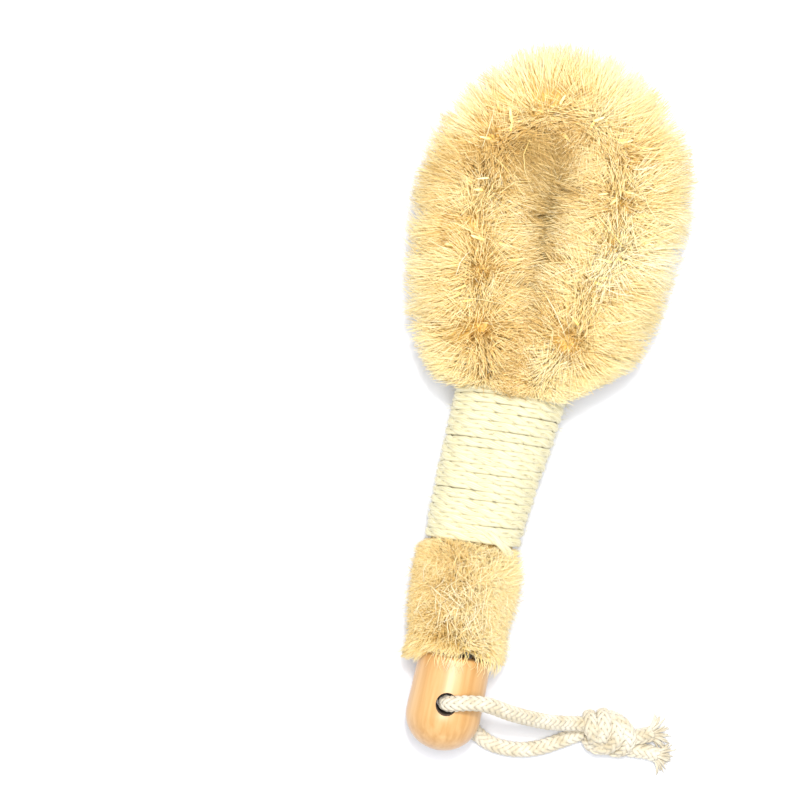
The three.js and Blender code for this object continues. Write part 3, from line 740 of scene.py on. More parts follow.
draw = np.random.default_rng(31)
head_range = wire_travel[wire_station > HEAD_START]
head_low, head_high = head_range[0], head_range[-1]
tuft_place = draw.uniform(head_low, head_high, TUFTS)
tuft_angle = draw.uniform(-np.pi, np.pi, TUFTS)
below = (tuft_angle > UNDERSIDE[0]) & (tuft_angle < UNDERSIDE[1])
tuft_angle = np.where(below & (draw.random(TUFTS) < MORE_ABOVE), -tuft_angle, tuft_angle)
upright = draw.random(TUFTS) < UPRIGHT_SHARE
tuft_angle = np.where(upright, draw.normal(np.pi / 2, UPRIGHT_SPREAD, TUFTS), tuft_angle)
tuft_lean, tuft_part, tuft_tone, tuft_length = (
    draw.normal(0.0, spread, TUFTS) for spread in (TUFT_LEAN, TUFT_PART, TUFT_TONE, TUFT_LENGTH))

lock_place = draw.uniform(head_low, head_high, LOCKS)
lock_angle = draw.uniform(-np.pi, np.pi, LOCKS)
lock_gap = ((tuft_place[:, None] - lock_place) / LOCK_SPAN[0]) ** 2
lock_gap += ((tuft_angle[:, None] - lock_angle) / LOCK_SPAN[1]) ** 2
lock = np.argmin(lock_gap, axis=1)
tuft_tone += draw.normal(0.0, LOCK_TONE, LOCKS)[lock]
tuft_lean += draw.normal(0.0, LOCK_LEAN, LOCKS)[lock]
tuft_length += draw.normal(0.0, LOCK_LENGTH, LOCKS)[lock]

tuft, free, place, angle = standing(
    draw, tuft_place, tuft_angle, (head_low, head_high), HEAD_FIBRES, FREE_SHARE, IN_TUFT)
angle = (angle + np.pi) % (2 * np.pi) - np.pi
tufted = np.where(free, FREE_LIKENESS, 1.0)
left_half = place < WIRE_LENGTH / 2
side_sign = np.where(left_half, -1.0, 1.0)
from_neck = np.minimum(place - head_low, head_high - place)

bunch_edges = np.linspace(head_low, head_high, BUNCHES + 1)
bunch_edges[1:-1] += draw.uniform(-BUNCH_SHIFT, BUNCH_SHIFT, BUNCHES - 1)
bunch = np.clip(np.searchsorted(bunch_edges, place) - 1, 0, BUNCHES - 1)
bunch_middle = (bunch_edges[1:] + bunch_edges[:-1]) / 2
bunch_half = (bunch_edges[1:] - bunch_edges[:-1]) / 2
in_bunch = (place - bunch_middle[bunch]) / bunch_half[bunch]
bunch_part = draw.normal(0.0, BUNCH_PART, BUNCHES)
root_place = bunch_middle[bunch] + GATHER * (place - bunch_middle[bunch])
print("fibres", HEAD_FIBRES, "bunches", BUNCHES)

# %% [markdown]
# A tip's angle round the wires is the root's angle, pushed away from the parting, and the fibre leans a
# little along the wires with its tuft. The trimming is uneven, up to 4 mm longer in places, and shorter
# on the underside of the fringe. Where an inward fibre has no room it turns up or down at the seam.

# %% Length and lean of the head bristles
BRISTLE_REACH = 24.7 * MM
REACH_PLACES = [0.0, 0.13, 0.2, 0.3, 0.38, 0.45, 0.5, 0.56, 0.62, 0.7, 0.8, 0.86, 0.92, 1.0]
REACH_EXTRA = [3.0, 3.0, 1.5, 1.2, 0.2, 2.4, 1.2, 2.8, 4.0, 2.4, 1.6, 2.2, 4.0, 3.6]
SEAM_REACH = 5.5 * MM
SHORTER_SPREAD = 0.06
LONGER_SHARE = 0.03
LONGER = (1.02, 1.06)
LONGEST = 1.05
LOWER_FRINGE = (-1.2, -0.05)
LOWER_FRINGE_LENGTH = 0.82
PARTING = 0.32
INWARD_PARTING = 0.5
TIP_SPREAD, STEEP_TIP_SPREAD = 0.05, 0.2
PAST_SEAM = (-4.0 * MM, 7.0 * MM)
PAST_SPREAD = 0.8 * MM
CROWDED_LENGTH = 0.88
NECK_LENGTH = 26.0 * MM
NECK_SPLAY = 0.34
BUNCH_FAN = 0.2
LEVEL_FAN = 0.25
LEAN_SPREAD, STEEP_LEAN_SPREAD, CROWDED_LEAN_SPREAD = 0.03, 0.2, 0.1

steep = np.abs(np.sin(angle))
outer = np.maximum(np.cos(angle), 0.0)
parting = np.where(np.cos(angle) < 0, INWARD_PARTING, PARTING)
tip_angle = angle - parting * np.sin(2 * angle) + tuft_part[tuft] * tufted + bunch_part[bunch] * steep
tip_angle += (draw.normal(0.0, TIP_SPREAD, HEAD_FIBRES)
              + draw.normal(0.0, STEEP_TIP_SPREAD, HEAD_FIBRES) * steep**2)
uneven = np.interp((place - head_low) / (head_high - head_low), REACH_PLACES, REACH_EXTRA) * MM
longer = uneven * outer
longer += SEAM_REACH * np.maximum(-np.cos(angle), 0.0)
shorter = np.abs(draw.normal(0.0, SHORTER_SPREAD, HEAD_FIBRES))
length = (BRISTLE_REACH + longer) * (1 - shorter + tuft_length[tuft] * tufted)
length *= np.where(draw.random(HEAD_FIBRES) < LONGER_SHARE, draw.uniform(*LONGER, HEAD_FIBRES), 1.0)
length = np.minimum(length, (BRISTLE_REACH + longer) * LONGEST)
length *= np.where((angle > LOWER_FRINGE[0]) & (angle < LOWER_FRINGE[1]), LOWER_FRINGE_LENGTH, 1.0)

tuft_past = draw.uniform(*PAST_SEAM, TUFTS)
free_past = draw.uniform(*PAST_SEAM, HEAD_FIBRES)
past = np.where(free, free_past, tuft_past[tuft] + draw.normal(0.0, PAST_SPREAD, HEAD_FIBRES))
room = np.interp(place, wire_travel, wire_room) + past
inward = -np.cos(tip_angle) * length
crowded = inward > room
length *= np.where(crowded, CROWDED_LENGTH, 1.0)
turned_up = np.pi - np.arccos(np.clip(room / length, -1.0, 1.0))
tip_angle = np.where(crowded, np.sign(np.sin(tip_angle)) * turned_up, tip_angle)

near_neck = np.clip(1 - from_neck / NECK_LENGTH, 0.0, 1.0)
fan = BUNCH_FAN * in_bunch * (LEVEL_FAN + (1 - LEVEL_FAN) * np.abs(np.sin(tip_angle)))
lean = fan + tuft_lean[tuft] * tufted + draw.normal(0.0, LEAN_SPREAD, HEAD_FIBRES)
lean = lean + side_sign * NECK_SPLAY * near_neck
lean += (draw.normal(0.0, STEEP_LEAN_SPREAD, HEAD_FIBRES) * steep**2
         + draw.normal(0.0, CROWDED_LEAN_SPREAD, HEAD_FIBRES) * crowded)
print("lengths in mm", np.round(np.percentile(length, (1, 50, 99)) / MM, 1).tolist())

# %% [markdown]
# Each fibre is a curve with three points: its root at the wires, a bend a little under half way, and its
# tip. The roots are gathered to the middle of their bunch, the tips are not, but those of a lock are
# drawn together. A few notches open the seam. At the neck the fibres splay over the winding, but none
# falls below its edge, or below a line that rises from there on either side.

# %% Roots, bends and tips of the head bristles
ROOT_RADIUS = 1.5 * MM
BEND_SHARE = 0.48
BEND_DRIFT, BEND_LEAN = 0.4, 0.25
BEND_SPREAD, STEEP_BEND_SPREAD = 0.3 * MM, 1.0 * MM
LOCK_PULL = 0.35
SEAM_NOTCHES = np.array([163.0, 171.0, 182.0, 195.5, 206.0])
NOTCH_SIDES = np.array([1.0, -1.0, 1.0, -1.0, 1.0])
NOTCH_WIDTH = 1.2
NOTCH_REACH = 8.0 * MM
NOTCH_DEPTH = 0.2
NECK_EDGE = 133.0 * MM
NECK_FLAT = (28.5 * MM, 18.0 * MM)
NECK_SLOPE = (0.9, 0.78)
NECK_SPREAD = 1.3 * MM
TIP_FLOOR = 0.4 * MM

base = at_wires(root_place, wire_line)[0]
over, along, outward, upward = at_wires(place, wire_line, wire_along, wire_outward, wire_upward)
start_way = turned_by(angle, outward, upward)
tip_way = unit(turned_by(tip_angle, outward, upward) + along * lean[:, None])
root = base + start_way * ROOT_RADIUS
bend = (1 - BEND_DRIFT) * base + BEND_DRIFT * over
bend = bend + (start_way + along * BEND_LEAN * lean[:, None]) * BEND_SHARE * length[:, None]
bend += draw.normal(0.0, 1.0, (HEAD_FIBRES, 3)) * (BEND_SPREAD + STEEP_BEND_SPREAD * steep[:, None] ** 4)
pull = LOCK_PULL * (lock_place[lock][tuft] - place) * tufted * (1 - steep**2)
tip = over + tip_way * length[:, None] + along * pull[:, None]
to_notch = (station_of(tip)[:, None] - SEAM_NOTCHES) / NOTCH_WIDTH
on_side = side_sign[:, None] * NOTCH_SIDES > 0
notch = np.max(np.exp(-to_notch**2) * on_side, axis=1) * (np.abs(tip[:, 0]) < NOTCH_REACH)
tip -= tip_way * (NOTCH_DEPTH * notch * length)[:, None]
beyond_flat = np.maximum(np.abs(tip[:, 0]) - np.where(tip[:, 0] < 0, *NECK_FLAT), 0.0)
lowest = NECK_EDGE + KNOB_TIP * MM + np.where(tip[:, 0] < 0, *NECK_SLOPE) * beyond_flat
lowest += draw.normal(0.0, NECK_SPREAD, HEAD_FIBRES)
tip[:, 1] = np.maximum(tip[:, 1], lowest)
bend, tip = above_floor(root, bend, tip, TIP_FLOOR)
print("tip heights in mm", np.round(np.percentile(tip[:, 2], (0, 50, 100)) / MM, 1).tolist())

# %% [markdown]
# The tone of a fibre runs from dull straw at 0 to nearly white at 1. The upright fibres on the parting
# are lightened as painted light against the shade between them, the fringe is lightened as painted light
# against the shade among its lower fibres, and the crown is pale. The inner sides, the seam, its notches
# and the creases between bunches are darkened as painted shade, and one patch near the crown is darker.
# The left half is darkened a little as painted shade, and every tuft and bunch has a tone of its own.

# %% Tone and thickness of the head bristles
FIBRE_RADIUS = 0.16 * MM
MIDDLE_TONE = 0.5
TONE_SPREAD = 0.08
PARTING_PAINTED_LIGHT = 0.13
HALF_PAINTED_SHADE = (-0.13, 0.02)
FRINGE_PAINTED_LIGHT = 0.26
INNER_SHADE = (0.28, 0.54)
DARK_PATCH = in_frame([(-11.5, 216.0, 0.0)])[0]
PATCH_SIZE = 8.0 * MM
PATCH_SHADE = 0.46
CROWDED_SHADE = 0.3
NECK_TONE = 0.1
CROWN_TONE = 0.12
CROWN_SIZE = 26.0 * MM
NOTCH_SHADE = 0.15
CREASE = (0.8, 1.0)
CREASE_SHADE = 0.26
BUNCH_TONE = 0.07

patch = np.exp(-np.sum((tip[:, :2] - DARK_PATCH[:2]) ** 2, axis=1) / (2 * PATCH_SIZE**2))
at_crown = np.exp(-(((place - WIRE_LENGTH / 2) / CROWN_SIZE) ** 2))
inner_shade = np.where(left_half, *INNER_SHADE) * np.clip(inward / length, 0.0, 1.0)
crease = smooth_step(np.abs(in_bunch), *CREASE)
tone = MIDDLE_TONE + tuft_tone[tuft] * tufted + draw.normal(0.0, TONE_SPREAD, HEAD_FIBRES)
# Painted light: the upright fibres on the parting are lightened against the shade between them.
tone += PARTING_PAINTED_LIGHT * steep**6
# Painted shade darkens the left half, and painted light pales the fringe against the shade among its lower
# fibres.
tone += np.where(left_half, *HALF_PAINTED_SHADE) + FRINGE_PAINTED_LIGHT * outer**4
# Painted shade darkens the inner sides towards the seam and the crowded fibres at the seam; the patch near
# the crown is darker.
tone -= inner_shade * draw.random(HEAD_FIBRES) + PATCH_SHADE * patch
tone -= CROWDED_SHADE * crowded * draw.random(TUFTS)[tuft]
# Painted shade darkens the fibres at the seam's notches; the neck and the outer crown are paler.
tone += NECK_TONE * near_neck + CROWN_TONE * at_crown * outer - NOTCH_SHADE * notch
# Painted shade darkens the creases between bunches.
tone -= CREASE_SHADE * crease * (1 - steep**4) * draw.random(HEAD_FIBRES)
tone += draw.normal(0.0, BUNCH_TONE, 2 * BUNCHES)[2 * bunch + (np.cos(angle) > 0)]
tone = np.clip(tone, *TONE_LIMITS)
radius = FIBRE_RADIUS * draw.uniform(*THICKNESS_RANGE, HEAD_FIBRES)
head_fibres = (root, bend, tip, radius, tone)
print("tones", np.round(np.percentile(tone, (5, 50, 95)), 2).tolist())

# %% [markdown]
# Among the trimmed fibres lie pale flakes, which are bits of the leaf's skin left by the combing, and a
# few long stray hairs. The flakes are half sunk among the tips near the parting. The hairs lie over the
# tips.

# %% Flakes, hairs and the head's pieces
FLAKES = 44
HAIRS = 18
FLAKE_HALF_WIDTH = 0.55 * MM
FLAKE_WIDTHS = (0.6, 1.3)
FLAKE_THINNESS = 0.22
FLAKE_TAPER, FLAKE_BLUNT = 0.45, 0.5
FLAKE_RINGS = 6
FLAKE_CORNERS = 8
FLAKE_LENGTH, HAIR_LENGTH = (3.0, 7.0), (8.0, 18.0)
FLAKE_REACH, HAIR_REACH = (0.72, 0.89), (0.88, 0.98)
FLAKE_TONE, HAIR_TONE = (0.5, 0.8), (0.65, 0.95)
FLAKE_CURL, HAIR_CURL = 0.04, 0.12
FLAKE_STRAY = (0.4, 0.4, 0.12)
HAIR_SLOPE = (-0.15, 0.1)
HAIR_RADIUS = 0.15 * MM
PARTING_SPREAD, PARTING_LIMIT = 0.5, 0.9
CORE_RADIUS = 16.5 * MM
CORE_TAPER = 24.0 * MM
CORE_TONE = 0.3
HEAD_PARTS = ("neck", "lower", "upper", "crown")


def flake(first, middle, last, half_width, tone):
    """A ribbon with blunt ends on the curve from first over middle to last, flat side up."""
    t = np.linspace(0.0, 1.0, FLAKE_RINGS)[:, None]
    line = curve(t, first, middle, last)
    wide = half_width * (1 - FLAKE_TAPER * t) * (1 - FLAKE_BLUNT * (2 * t - 1) ** 6)
    up, across = square_frame(line, UP)
    points, faces, uv = tube(line, up, across, FLAKE_THINNESS * wide, wide, FLAKE_CORNERS)
    uv[..., 0] = tone + COLUMN_HALF_WIDTH * (2 * uv[..., 0] - 1)
    return points, faces, uv


def flakes_and_hairs(draw):
    """Flakes of 3 to 7 mm along the fibres near the parting, half sunk in. Hairs of 8 to 18 mm, any way."""
    count = FLAKES + HAIRS
    is_flake = np.arange(count) < FLAKES

    def either(for_flakes, for_hairs):
        return np.where(is_flake, draw.uniform(*for_flakes, count), draw.uniform(*for_hairs, count))

    spot = draw.uniform(head_low + NECK_LENGTH, head_high - NECK_LENGTH, count)
    turn = np.pi / 2 + np.clip(draw.normal(0.0, PARTING_SPREAD, count), -PARTING_LIMIT, PARTING_LIMIT)
    line, out, up = at_wires(spot, wire_line, wire_outward, wire_upward)
    reach = BRISTLE_REACH * either(FLAKE_REACH, HAIR_REACH)
    middle = line + turned_by(turn, out, up) * reach[:, None]
    heading = draw.uniform(-np.pi, np.pi, count)
    any_way = np.stack([np.cos(heading), np.sin(heading), draw.uniform(*HAIR_SLOPE, count)], axis=1)
    with_fibres = unit(out * np.cos(turn)[:, None])
    with_fibres = with_fibres + draw.normal(0.0, 1.0, (count, 3)) * FLAKE_STRAY
    run = unit(np.where(is_flake[:, None], with_fibres, any_way))
    long = either(FLAKE_LENGTH, HAIR_LENGTH) * MM
    curl = draw.normal(0.0, 1.0, (count, 3)) * (np.where(is_flake, FLAKE_CURL, HAIR_CURL) * long)[:, None]
    ends = (middle - run * long[:, None] / 2, middle + curl, middle + run * long[:, None] / 2)
    tones = either(FLAKE_TONE, HAIR_TONE)
    wide = FLAKE_HALF_WIDTH * draw.uniform(*FLAKE_WIDTHS, count)
    made = [flake(*(end[k] for end in ends), wide[k], tones[k]) for k in range(FLAKES)]
    return made + [stalks(*(end[FLAKES:] for end in ends), HAIR_RADIUS, tones[FLAKES:], draw)]


part_length = (head_high - head_low) / (2 * len(HEAD_PARTS))
for side_name, on_side in (("left", left_half), ("right", ~left_half)):
    ends = (head_low, WIRE_LENGTH / 2) if side_name == "left" else (WIRE_LENGTH / 2, head_high)
    extra = [packed_core(*ends, (head_low, head_high), CORE_RADIUS, CORE_TAPER, CORE_TONE, draw)]
    extra += flakes_and_hairs(draw) if side_name == "left" else []
    for part_number, part_name in enumerate(HEAD_PARTS):
        chosen = on_side & (np.minimum(from_neck // part_length, len(HEAD_PARTS) - 1) == part_number)
        parts = [stalks(*(values[chosen] for values in head_fibres), draw)]
        parts += extra if part_name == "crown" else []
        add_piece(f"head_fibres_{side_name}_{part_name}", f"head_bristles_{side_name}", parts, agave_fibre)

# %% [markdown]
# ## The collar
# Between the winding and the knob the fibres are trimmed shorter. They start on the two legs and end on
# one oval, a little wider in some places than in others, and the twist gathers them in a few lumps with
# creases between. Pale loose curls lie over the trimmed tips, and a fringe hangs from the lower edge over
# the knob.

# %% Where the collar bristles stand
COLLAR_START = 37.0
COLLAR_END = 75.5
COLLAR_FIBRES = 18400
COLLAR_FREE_SHARE = 0.25
IN_COLLAR_TUFT = (0.7 * MM, 0.14)
COLLAR_TUFTS = 900
COLLAR_TUFT_LEAN, COLLAR_TUFT_TONE, COLLAR_TUFT_SHIFT = 0.12, 0.1, 1.2 * MM
COLLAR_LUMPS = np.array([[36.0, 44.0, 53.5, 64.5, 76.5], [36.0, 47.0, 57.0, 68.0, 76.5]])
COLLAR_GATHER = 0.5

draw = np.random.default_rng(41)
in_collar = (wire_station > COLLAR_START) & (wire_station < COLLAR_END) & (wire_line[:, 0] < 0)
collar_low, collar_high = wire_travel[in_collar][[0, -1]]
tuft_place = draw.uniform(collar_low, collar_high, COLLAR_TUFTS)
tuft_angle = draw.uniform(-np.pi, np.pi, COLLAR_TUFTS)
tuft_lean = draw.normal(0.0, COLLAR_TUFT_LEAN, COLLAR_TUFTS)
tuft_tone = draw.normal(0.0, COLLAR_TUFT_TONE, COLLAR_TUFTS)
tuft_shift = draw.normal(0.0, COLLAR_TUFT_SHIFT, (COLLAR_TUFTS, 3))
tuft, _, place, angle = standing(
    draw, tuft_place, tuft_angle, (collar_low, collar_high), COLLAR_FIBRES, COLLAR_FREE_SHARE,
    IN_COLLAR_TUFT)
on_right = draw.random(COLLAR_FIBRES) < 0.5
flip = np.where(on_right[:, None], (-1.0, 1.0, 1.0), (1.0, 1.0, 1.0))
over, outward, upward = (values * flip for values in at_wires(place, wire_line, wire_outward, wire_upward))
base_station = station_of(over)

leg_edges = COLLAR_LUMPS[on_right.astype(int)]
last_lump = COLLAR_LUMPS.shape[1] - 2
lump = np.clip(np.sum(base_station[:, None] > leg_edges, axis=1) - 1, 0, last_lump)[:, None]
lump_low, lump_high = (np.take_along_axis(leg_edges, lump + edge, 1)[:, 0] for edge in (0, 1))
in_lump = (2 * base_station - lump_low - lump_high) / (lump_high - lump_low)
root_shift = (1 - COLLAR_GATHER) * in_lump * (lump_high - lump_low) / 2 * MM
base = over - root_shift[:, None] * (0.0, 1.0, 0.0)
base[:, 1] = np.clip(base[:, 1], at_station(COLLAR_START), at_station(COLLAR_END))
print("collar fibres", COLLAR_FIBRES)

# %% [markdown]
# A fibre runs from its leg to the trimmed oval, so its length is the distance to that oval along its own
# direction. The lump gives it a lean along the grip. No fibre enters the knob, and few lie over the
# winding. On the left a skirt of fibres hangs down beside the knob.

# %% Length and lean of the collar bristles
COLLAR_OVAL = np.array([20.0, 20.6]) * MM
LEFT_REACH = ([36.0, 41.0, 46.0, 54.0, 63.0, 68.0, 72.0, 76.0],
              [0.97, 0.97, 0.88, 0.92, 0.97, 1.0, 0.93, 0.78])
RIGHT_REACH = ([31.0, 37.0, 42.0, 52.0, 58.0, 63.0, 69.0, 75.0],
               [0.8, 0.84, 0.92, 0.98, 1.03, 1.06, 0.95, 0.78])
COLLAR_SHORTER_SPREAD = 0.06
COLLAR_LONGER_SHARE = 0.04
COLLAR_LONGER = (1.05, 1.18)
COLLAR_PARTING = 0.25
COLLAR_FAN = 0.25
LEVEL_COLLAR_FAN = 0.4
COLLAR_LEAN_SPREAD = 0.1
LOWER_LEFT_LEAN = (44.0, 0.45)

way = turned_by(angle - COLLAR_PARTING * np.sin(2 * angle), outward, upward)
start = np.stack([base[:, 0], base[:, 2] - HANDLE_HEIGHT * MM], axis=1) / COLLAR_OVAL
step = np.stack([way[:, 0], way[:, 2]], axis=1) / COLLAR_OVAL
half = np.sum(start * step, axis=1)
square = np.sum(step**2, axis=1)
length = (np.sqrt(half**2 - square * (np.sum(start**2, axis=1) - 1)) - half) / square
to_left = base[:, 0] + way[:, 0] * length < 0
length *= np.where(to_left, np.interp(base_station, *LEFT_REACH), np.interp(base_station, *RIGHT_REACH))
length *= 1 - np.abs(draw.normal(0.0, COLLAR_SHORTER_SPREAD, COLLAR_FIBRES))
is_longer = draw.random(COLLAR_FIBRES) < COLLAR_LONGER_SHARE
length *= np.where(is_longer, draw.uniform(*COLLAR_LONGER, COLLAR_FIBRES), 1.0)
fan = COLLAR_FAN * in_lump * (LEVEL_COLLAR_FAN + (1 - LEVEL_COLLAR_FAN) * np.abs(np.sin(angle)))
lean = fan + tuft_lean[tuft]
lean += draw.normal(0.0, COLLAR_LEAN_SPREAD, COLLAR_FIBRES)
lean -= np.where(to_left & (base_station < LOWER_LEFT_LEAN[0]), LOWER_LEFT_LEAN[1], 0.0)
print("lengths in mm", np.round(np.percentile(length, (1, 50, 99)) / MM, 1).tolist())

# %% [markdown]
# The tips are felted, those of a tuft by about the same shift. At the knob they end on an edge that is
# parted in one place, and at the winding on an edge that is rounded off on the left. The right side is
# paler as painted light, and the creases between lumps are darkened as painted shade.

# %% Roots, bends and tips of the collar bristles
COLLAR_BEND_SHARE = 0.66
COLLAR_CURL = 1.2 * MM
COLLAR_FELT = 1.1 * MM
FELT_LEFT, FELT_RIGHT = 0.6, 1.1
FELT_ALONG = 0.7
FRINGE_GAP = 1.22
GAP_SIZE = 0.3
GAP_RISE = 4.2
EDGE_OVERHANG = 2.2
EDGE_SPREAD = 1.0 * MM
EDGE_MARGIN = 1.0
SKIRT_EDGE = -13.6 * MM
SKIRT_END = 30.0
SKIRT_FLOOR = 9.0 * MM
SKIRT_SPREAD = 2.2
ROUND_FROM = 11.0 * MM
ROUND_SLOPE = 0.6
WINDING_SPREAD = 0.6 * MM
COLLAR_TONE = 0.45
COLLAR_TONE_SPREAD = 0.15
COLLAR_SIDE_PAINTED_LIGHT = (-0.02, 0.18)
COLLAR_CREASE = (0.7, 1.0)
COLLAR_CREASE_SHADE = 0.16
COLLAR_RADIUS = 0.13 * MM

root = base + way * ROOT_RADIUS
bend = (base + over) / 2 + way * COLLAR_BEND_SHARE * length[:, None]
bend = bend + draw.normal(0.0, COLLAR_CURL, (COLLAR_FIBRES, 3))
felted = tuft_shift[tuft] + draw.normal(0.0, COLLAR_FELT, (COLLAR_FIBRES, 3))
felted -= FELT_ALONG * way * np.sum(felted * way, axis=1, keepdims=True)
tip = over + way * length[:, None] + felted * np.where(to_left, FELT_LEFT, FELT_RIGHT)[:, None]
tip[:, 1] += lean * length
round_axis = np.arctan2(tip[:, 2] - HANDLE_HEIGHT * MM, tip[:, 0])
parted = COLLAR_START - EDGE_OVERHANG + GAP_RISE * np.exp(-(((round_axis - FRINGE_GAP) / GAP_SIZE) ** 2))
skirt = (tip[:, 0] < SKIRT_EDGE) & (tip[:, 2] > SKIRT_FLOOR)
knob_edge = at_station(np.where(skirt, SKIRT_END, parted))
knob_edge += np.abs(draw.normal(0.0, EDGE_SPREAD, COLLAR_FIBRES)) * np.where(skirt, SKIRT_SPREAD, 1.0)
beyond = np.maximum(-tip[:, 0] - ROUND_FROM, 0.0)
winding_edge = at_station(COLLAR_END + EDGE_MARGIN) - ROUND_SLOPE * beyond
winding_edge = winding_edge + draw.normal(0.0, WINDING_SPREAD, COLLAR_FIBRES)
tip[:, 1] = np.clip(tip[:, 1], knob_edge, winding_edge)
bend_edge = at_station(COLLAR_START - EDGE_MARGIN) + np.abs(draw.normal(0.0, EDGE_SPREAD, COLLAR_FIBRES))
bend[:, 1] = np.maximum(bend[:, 1], bend_edge)
bend, tip = above_floor(root, bend, tip, TIP_FLOOR)
tone = COLLAR_TONE + tuft_tone[tuft] + draw.normal(0.0, COLLAR_TONE_SPREAD, COLLAR_FIBRES)
# Painted light: the right side of the collar is paler.
tone = tone + np.where(to_left, *COLLAR_SIDE_PAINTED_LIGHT)
# Painted shade darkens the creases between lumps.
tone = np.clip(tone - COLLAR_CREASE_SHADE * smooth_step(np.abs(in_lump), *COLLAR_CREASE), *TONE_LIMITS)
radius = COLLAR_RADIUS * draw.uniform(*THICKNESS_RANGE, COLLAR_FIBRES)
collar_fibres = (root, bend, tip, radius, tone)
print("collar tips up to", round(float(tip[:, 2].max()) / MM, 1), "mm")

# %% [markdown]
# The loose curls and the fringe are placed round the handle by an angle, from the right side over the top
# to the left. A curl lies on the oval and bulges a little. A fringe fibre comes out of the collar's edge,
# bends outwards and drops over the knob.

# %% Collar curls, fringe and pieces
CURLS = 170
CURL_STATION = (40.0, 73.0)
CURL_TURN, CURL_TURN_SPREAD = 1.15, 0.75
CURL_REACH = (0.86, 0.97)
CURL_LENGTH = (2.0, 6.0)
CURL_TONE = (0.82, 0.98)
CURL_BULGE = 1.6 * MM
CURL_LIFT = 0.03
FRINGE = 330
FRINGE_BARE = (2.05, 2.75)
BARE_GAP = 0.2
BARE_SHARE = 0.75
FRINGE_ROOT, FRINGE_BEND, FRINGE_DROP = (37.5, 41.5), (34.0, 37.0), (29.0, 34.5)
FRINGE_REACH = (11.0, 17.0)
FRINGE_ROOT_SHARE, FRINGE_TIP_SHARE = 0.85, 0.95
FRINGE_LIFT = (0.0, 1.6)
FRINGE_STRAY = (0.06, 0.12)
FRINGE_TONES = (0.55, 0.95)
FRINGE_BULGE = 2.2 * MM
KNOB_CLEARANCE = 14.0 * MM
LOOSE_RADIUS = 0.11 * MM
COLLAR_CORE_RADIUS = 11.0 * MM
COLLAR_TAPER = 9.0 * MM
COLLAR_CORE_TONE = 0.25


def round_handle(station, turn, reach):
    """Points round the handle's axis: x = reach cos(turn), z = axis + reach sin(turn)."""
    points = np.stack([reach * np.cos(turn), at_station(station), reach * np.sin(turn)], axis=1)
    return points + (0.0, 0.0, HANDLE_HEIGHT * MM)


curl_station = draw.uniform(*CURL_STATION, CURLS)
curl_turn = draw.normal(CURL_TURN, CURL_TURN_SPREAD, CURLS)
curl_reach = COLLAR_OVAL[0] * np.interp(curl_station, *RIGHT_REACH) * draw.uniform(*CURL_REACH, CURLS)
curl_long = draw.uniform(*CURL_LENGTH, CURLS)
curl_heading = draw.uniform(-np.pi, np.pi, CURLS)
curl_along = curl_long * np.sin(curl_heading)
curl_round = curl_long * np.cos(curl_heading) * MM / curl_reach
curl_ends = [
    round_handle(curl_station - curl_along, curl_turn - curl_round, curl_reach * (1 - CURL_LIFT)),
    round_handle(curl_station, curl_turn, curl_reach * (1 + CURL_LIFT))
    + draw.normal(0.0, CURL_BULGE, (CURLS, 3)),
    round_handle(curl_station + curl_along, curl_turn + curl_round, curl_reach)]
curls = stalks(*curl_ends, LOOSE_RADIUS, draw.uniform(*CURL_TONE, CURLS), draw)

fringe_turn = draw.uniform(-np.pi, np.pi, FRINGE)
in_gap = np.abs(fringe_turn - FRINGE_GAP) < BARE_GAP
in_gap |= (fringe_turn > FRINGE_BARE[0]) & (fringe_turn < FRINGE_BARE[1])
fringe_turn = np.where(in_gap & (draw.random(FRINGE) < BARE_SHARE), -fringe_turn, fringe_turn)
fringe_reach = draw.uniform(*FRINGE_REACH, FRINGE) * MM
fringe_drop = draw.uniform(*FRINGE_DROP, FRINGE)
fringe_ends = [
    round_handle(draw.uniform(*FRINGE_ROOT, FRINGE), fringe_turn, fringe_reach * FRINGE_ROOT_SHARE),
    round_handle(draw.uniform(*FRINGE_BEND, FRINGE), fringe_turn + draw.normal(0.0, FRINGE_STRAY[0], FRINGE),
                 np.maximum(fringe_reach, KNOB_CLEARANCE) + FRINGE_BULGE),
    round_handle(fringe_drop, fringe_turn + draw.normal(0.0, FRINGE_STRAY[1], FRINGE),
                 np.maximum(fringe_reach * FRINGE_TIP_SHARE,
                            KNOB_CLEARANCE + draw.uniform(*FRINGE_LIFT, FRINGE) * MM))]
fringe = stalks(*fringe_ends, LOOSE_RADIUS, draw.uniform(*FRINGE_TONES, FRINGE), draw)

right_ends = (WIRE_LENGTH - collar_high, WIRE_LENGTH - collar_low)
for side_name, chosen, ends, loose in (("left", ~on_right, (collar_low, collar_high), fringe),
                                       ("right", on_right, right_ends, curls)):
    parts = [stalks(*(values[chosen] for values in collar_fibres), draw),
             packed_core(*ends, ends, COLLAR_CORE_RADIUS, COLLAR_TAPER, COLLAR_CORE_TONE, draw), loose]
    add_piece(f"collar_fibres_{side_name}", f"collar_bristles_{side_name}", parts, agave_fibre)

# %% [markdown]
# ## The grip under the winding
# The winding presses the bristles of both legs flat. What shows of them are dark slits between the turns,
# and a ruff of crushed ends at both edges of the winding. So each leg gets a fluted half-oval pack, and
# fibres that come out of it and flare.

# %% Packed bristles in the grip
GRIP_START = 75.5
GRIP_END = 133.7
GRIP_KNOB_END = np.array([17.2, 13.5])
GRIP_HEAD_END = np.array([20.5, 15.0])
TWINE_RADIUS = 1.3
PACK_INSET = 2 * TWINE_RADIUS + 0.2
PACK_FLUTES = 26
FLUTE_DEPTH = 0.25
PACK_ROWS = 14
PACK_COLUMNS = 60
PACK_END_GAP = 0.6
PACK_SEAM = 0.3
PACK_CAP_TONE = 0.3
PACK_TONES = (0.05, 0.95)


def grip_half_axes(station, inset):
    """Half width and half height of the grip's oval in millimetres, straight from one end to the other."""
    share = (np.asarray(station, float) - GRIP_START) / (GRIP_END - GRIP_START)
    return GRIP_KNOB_END + share[..., None] * (GRIP_HEAD_END - GRIP_KNOB_END) - inset


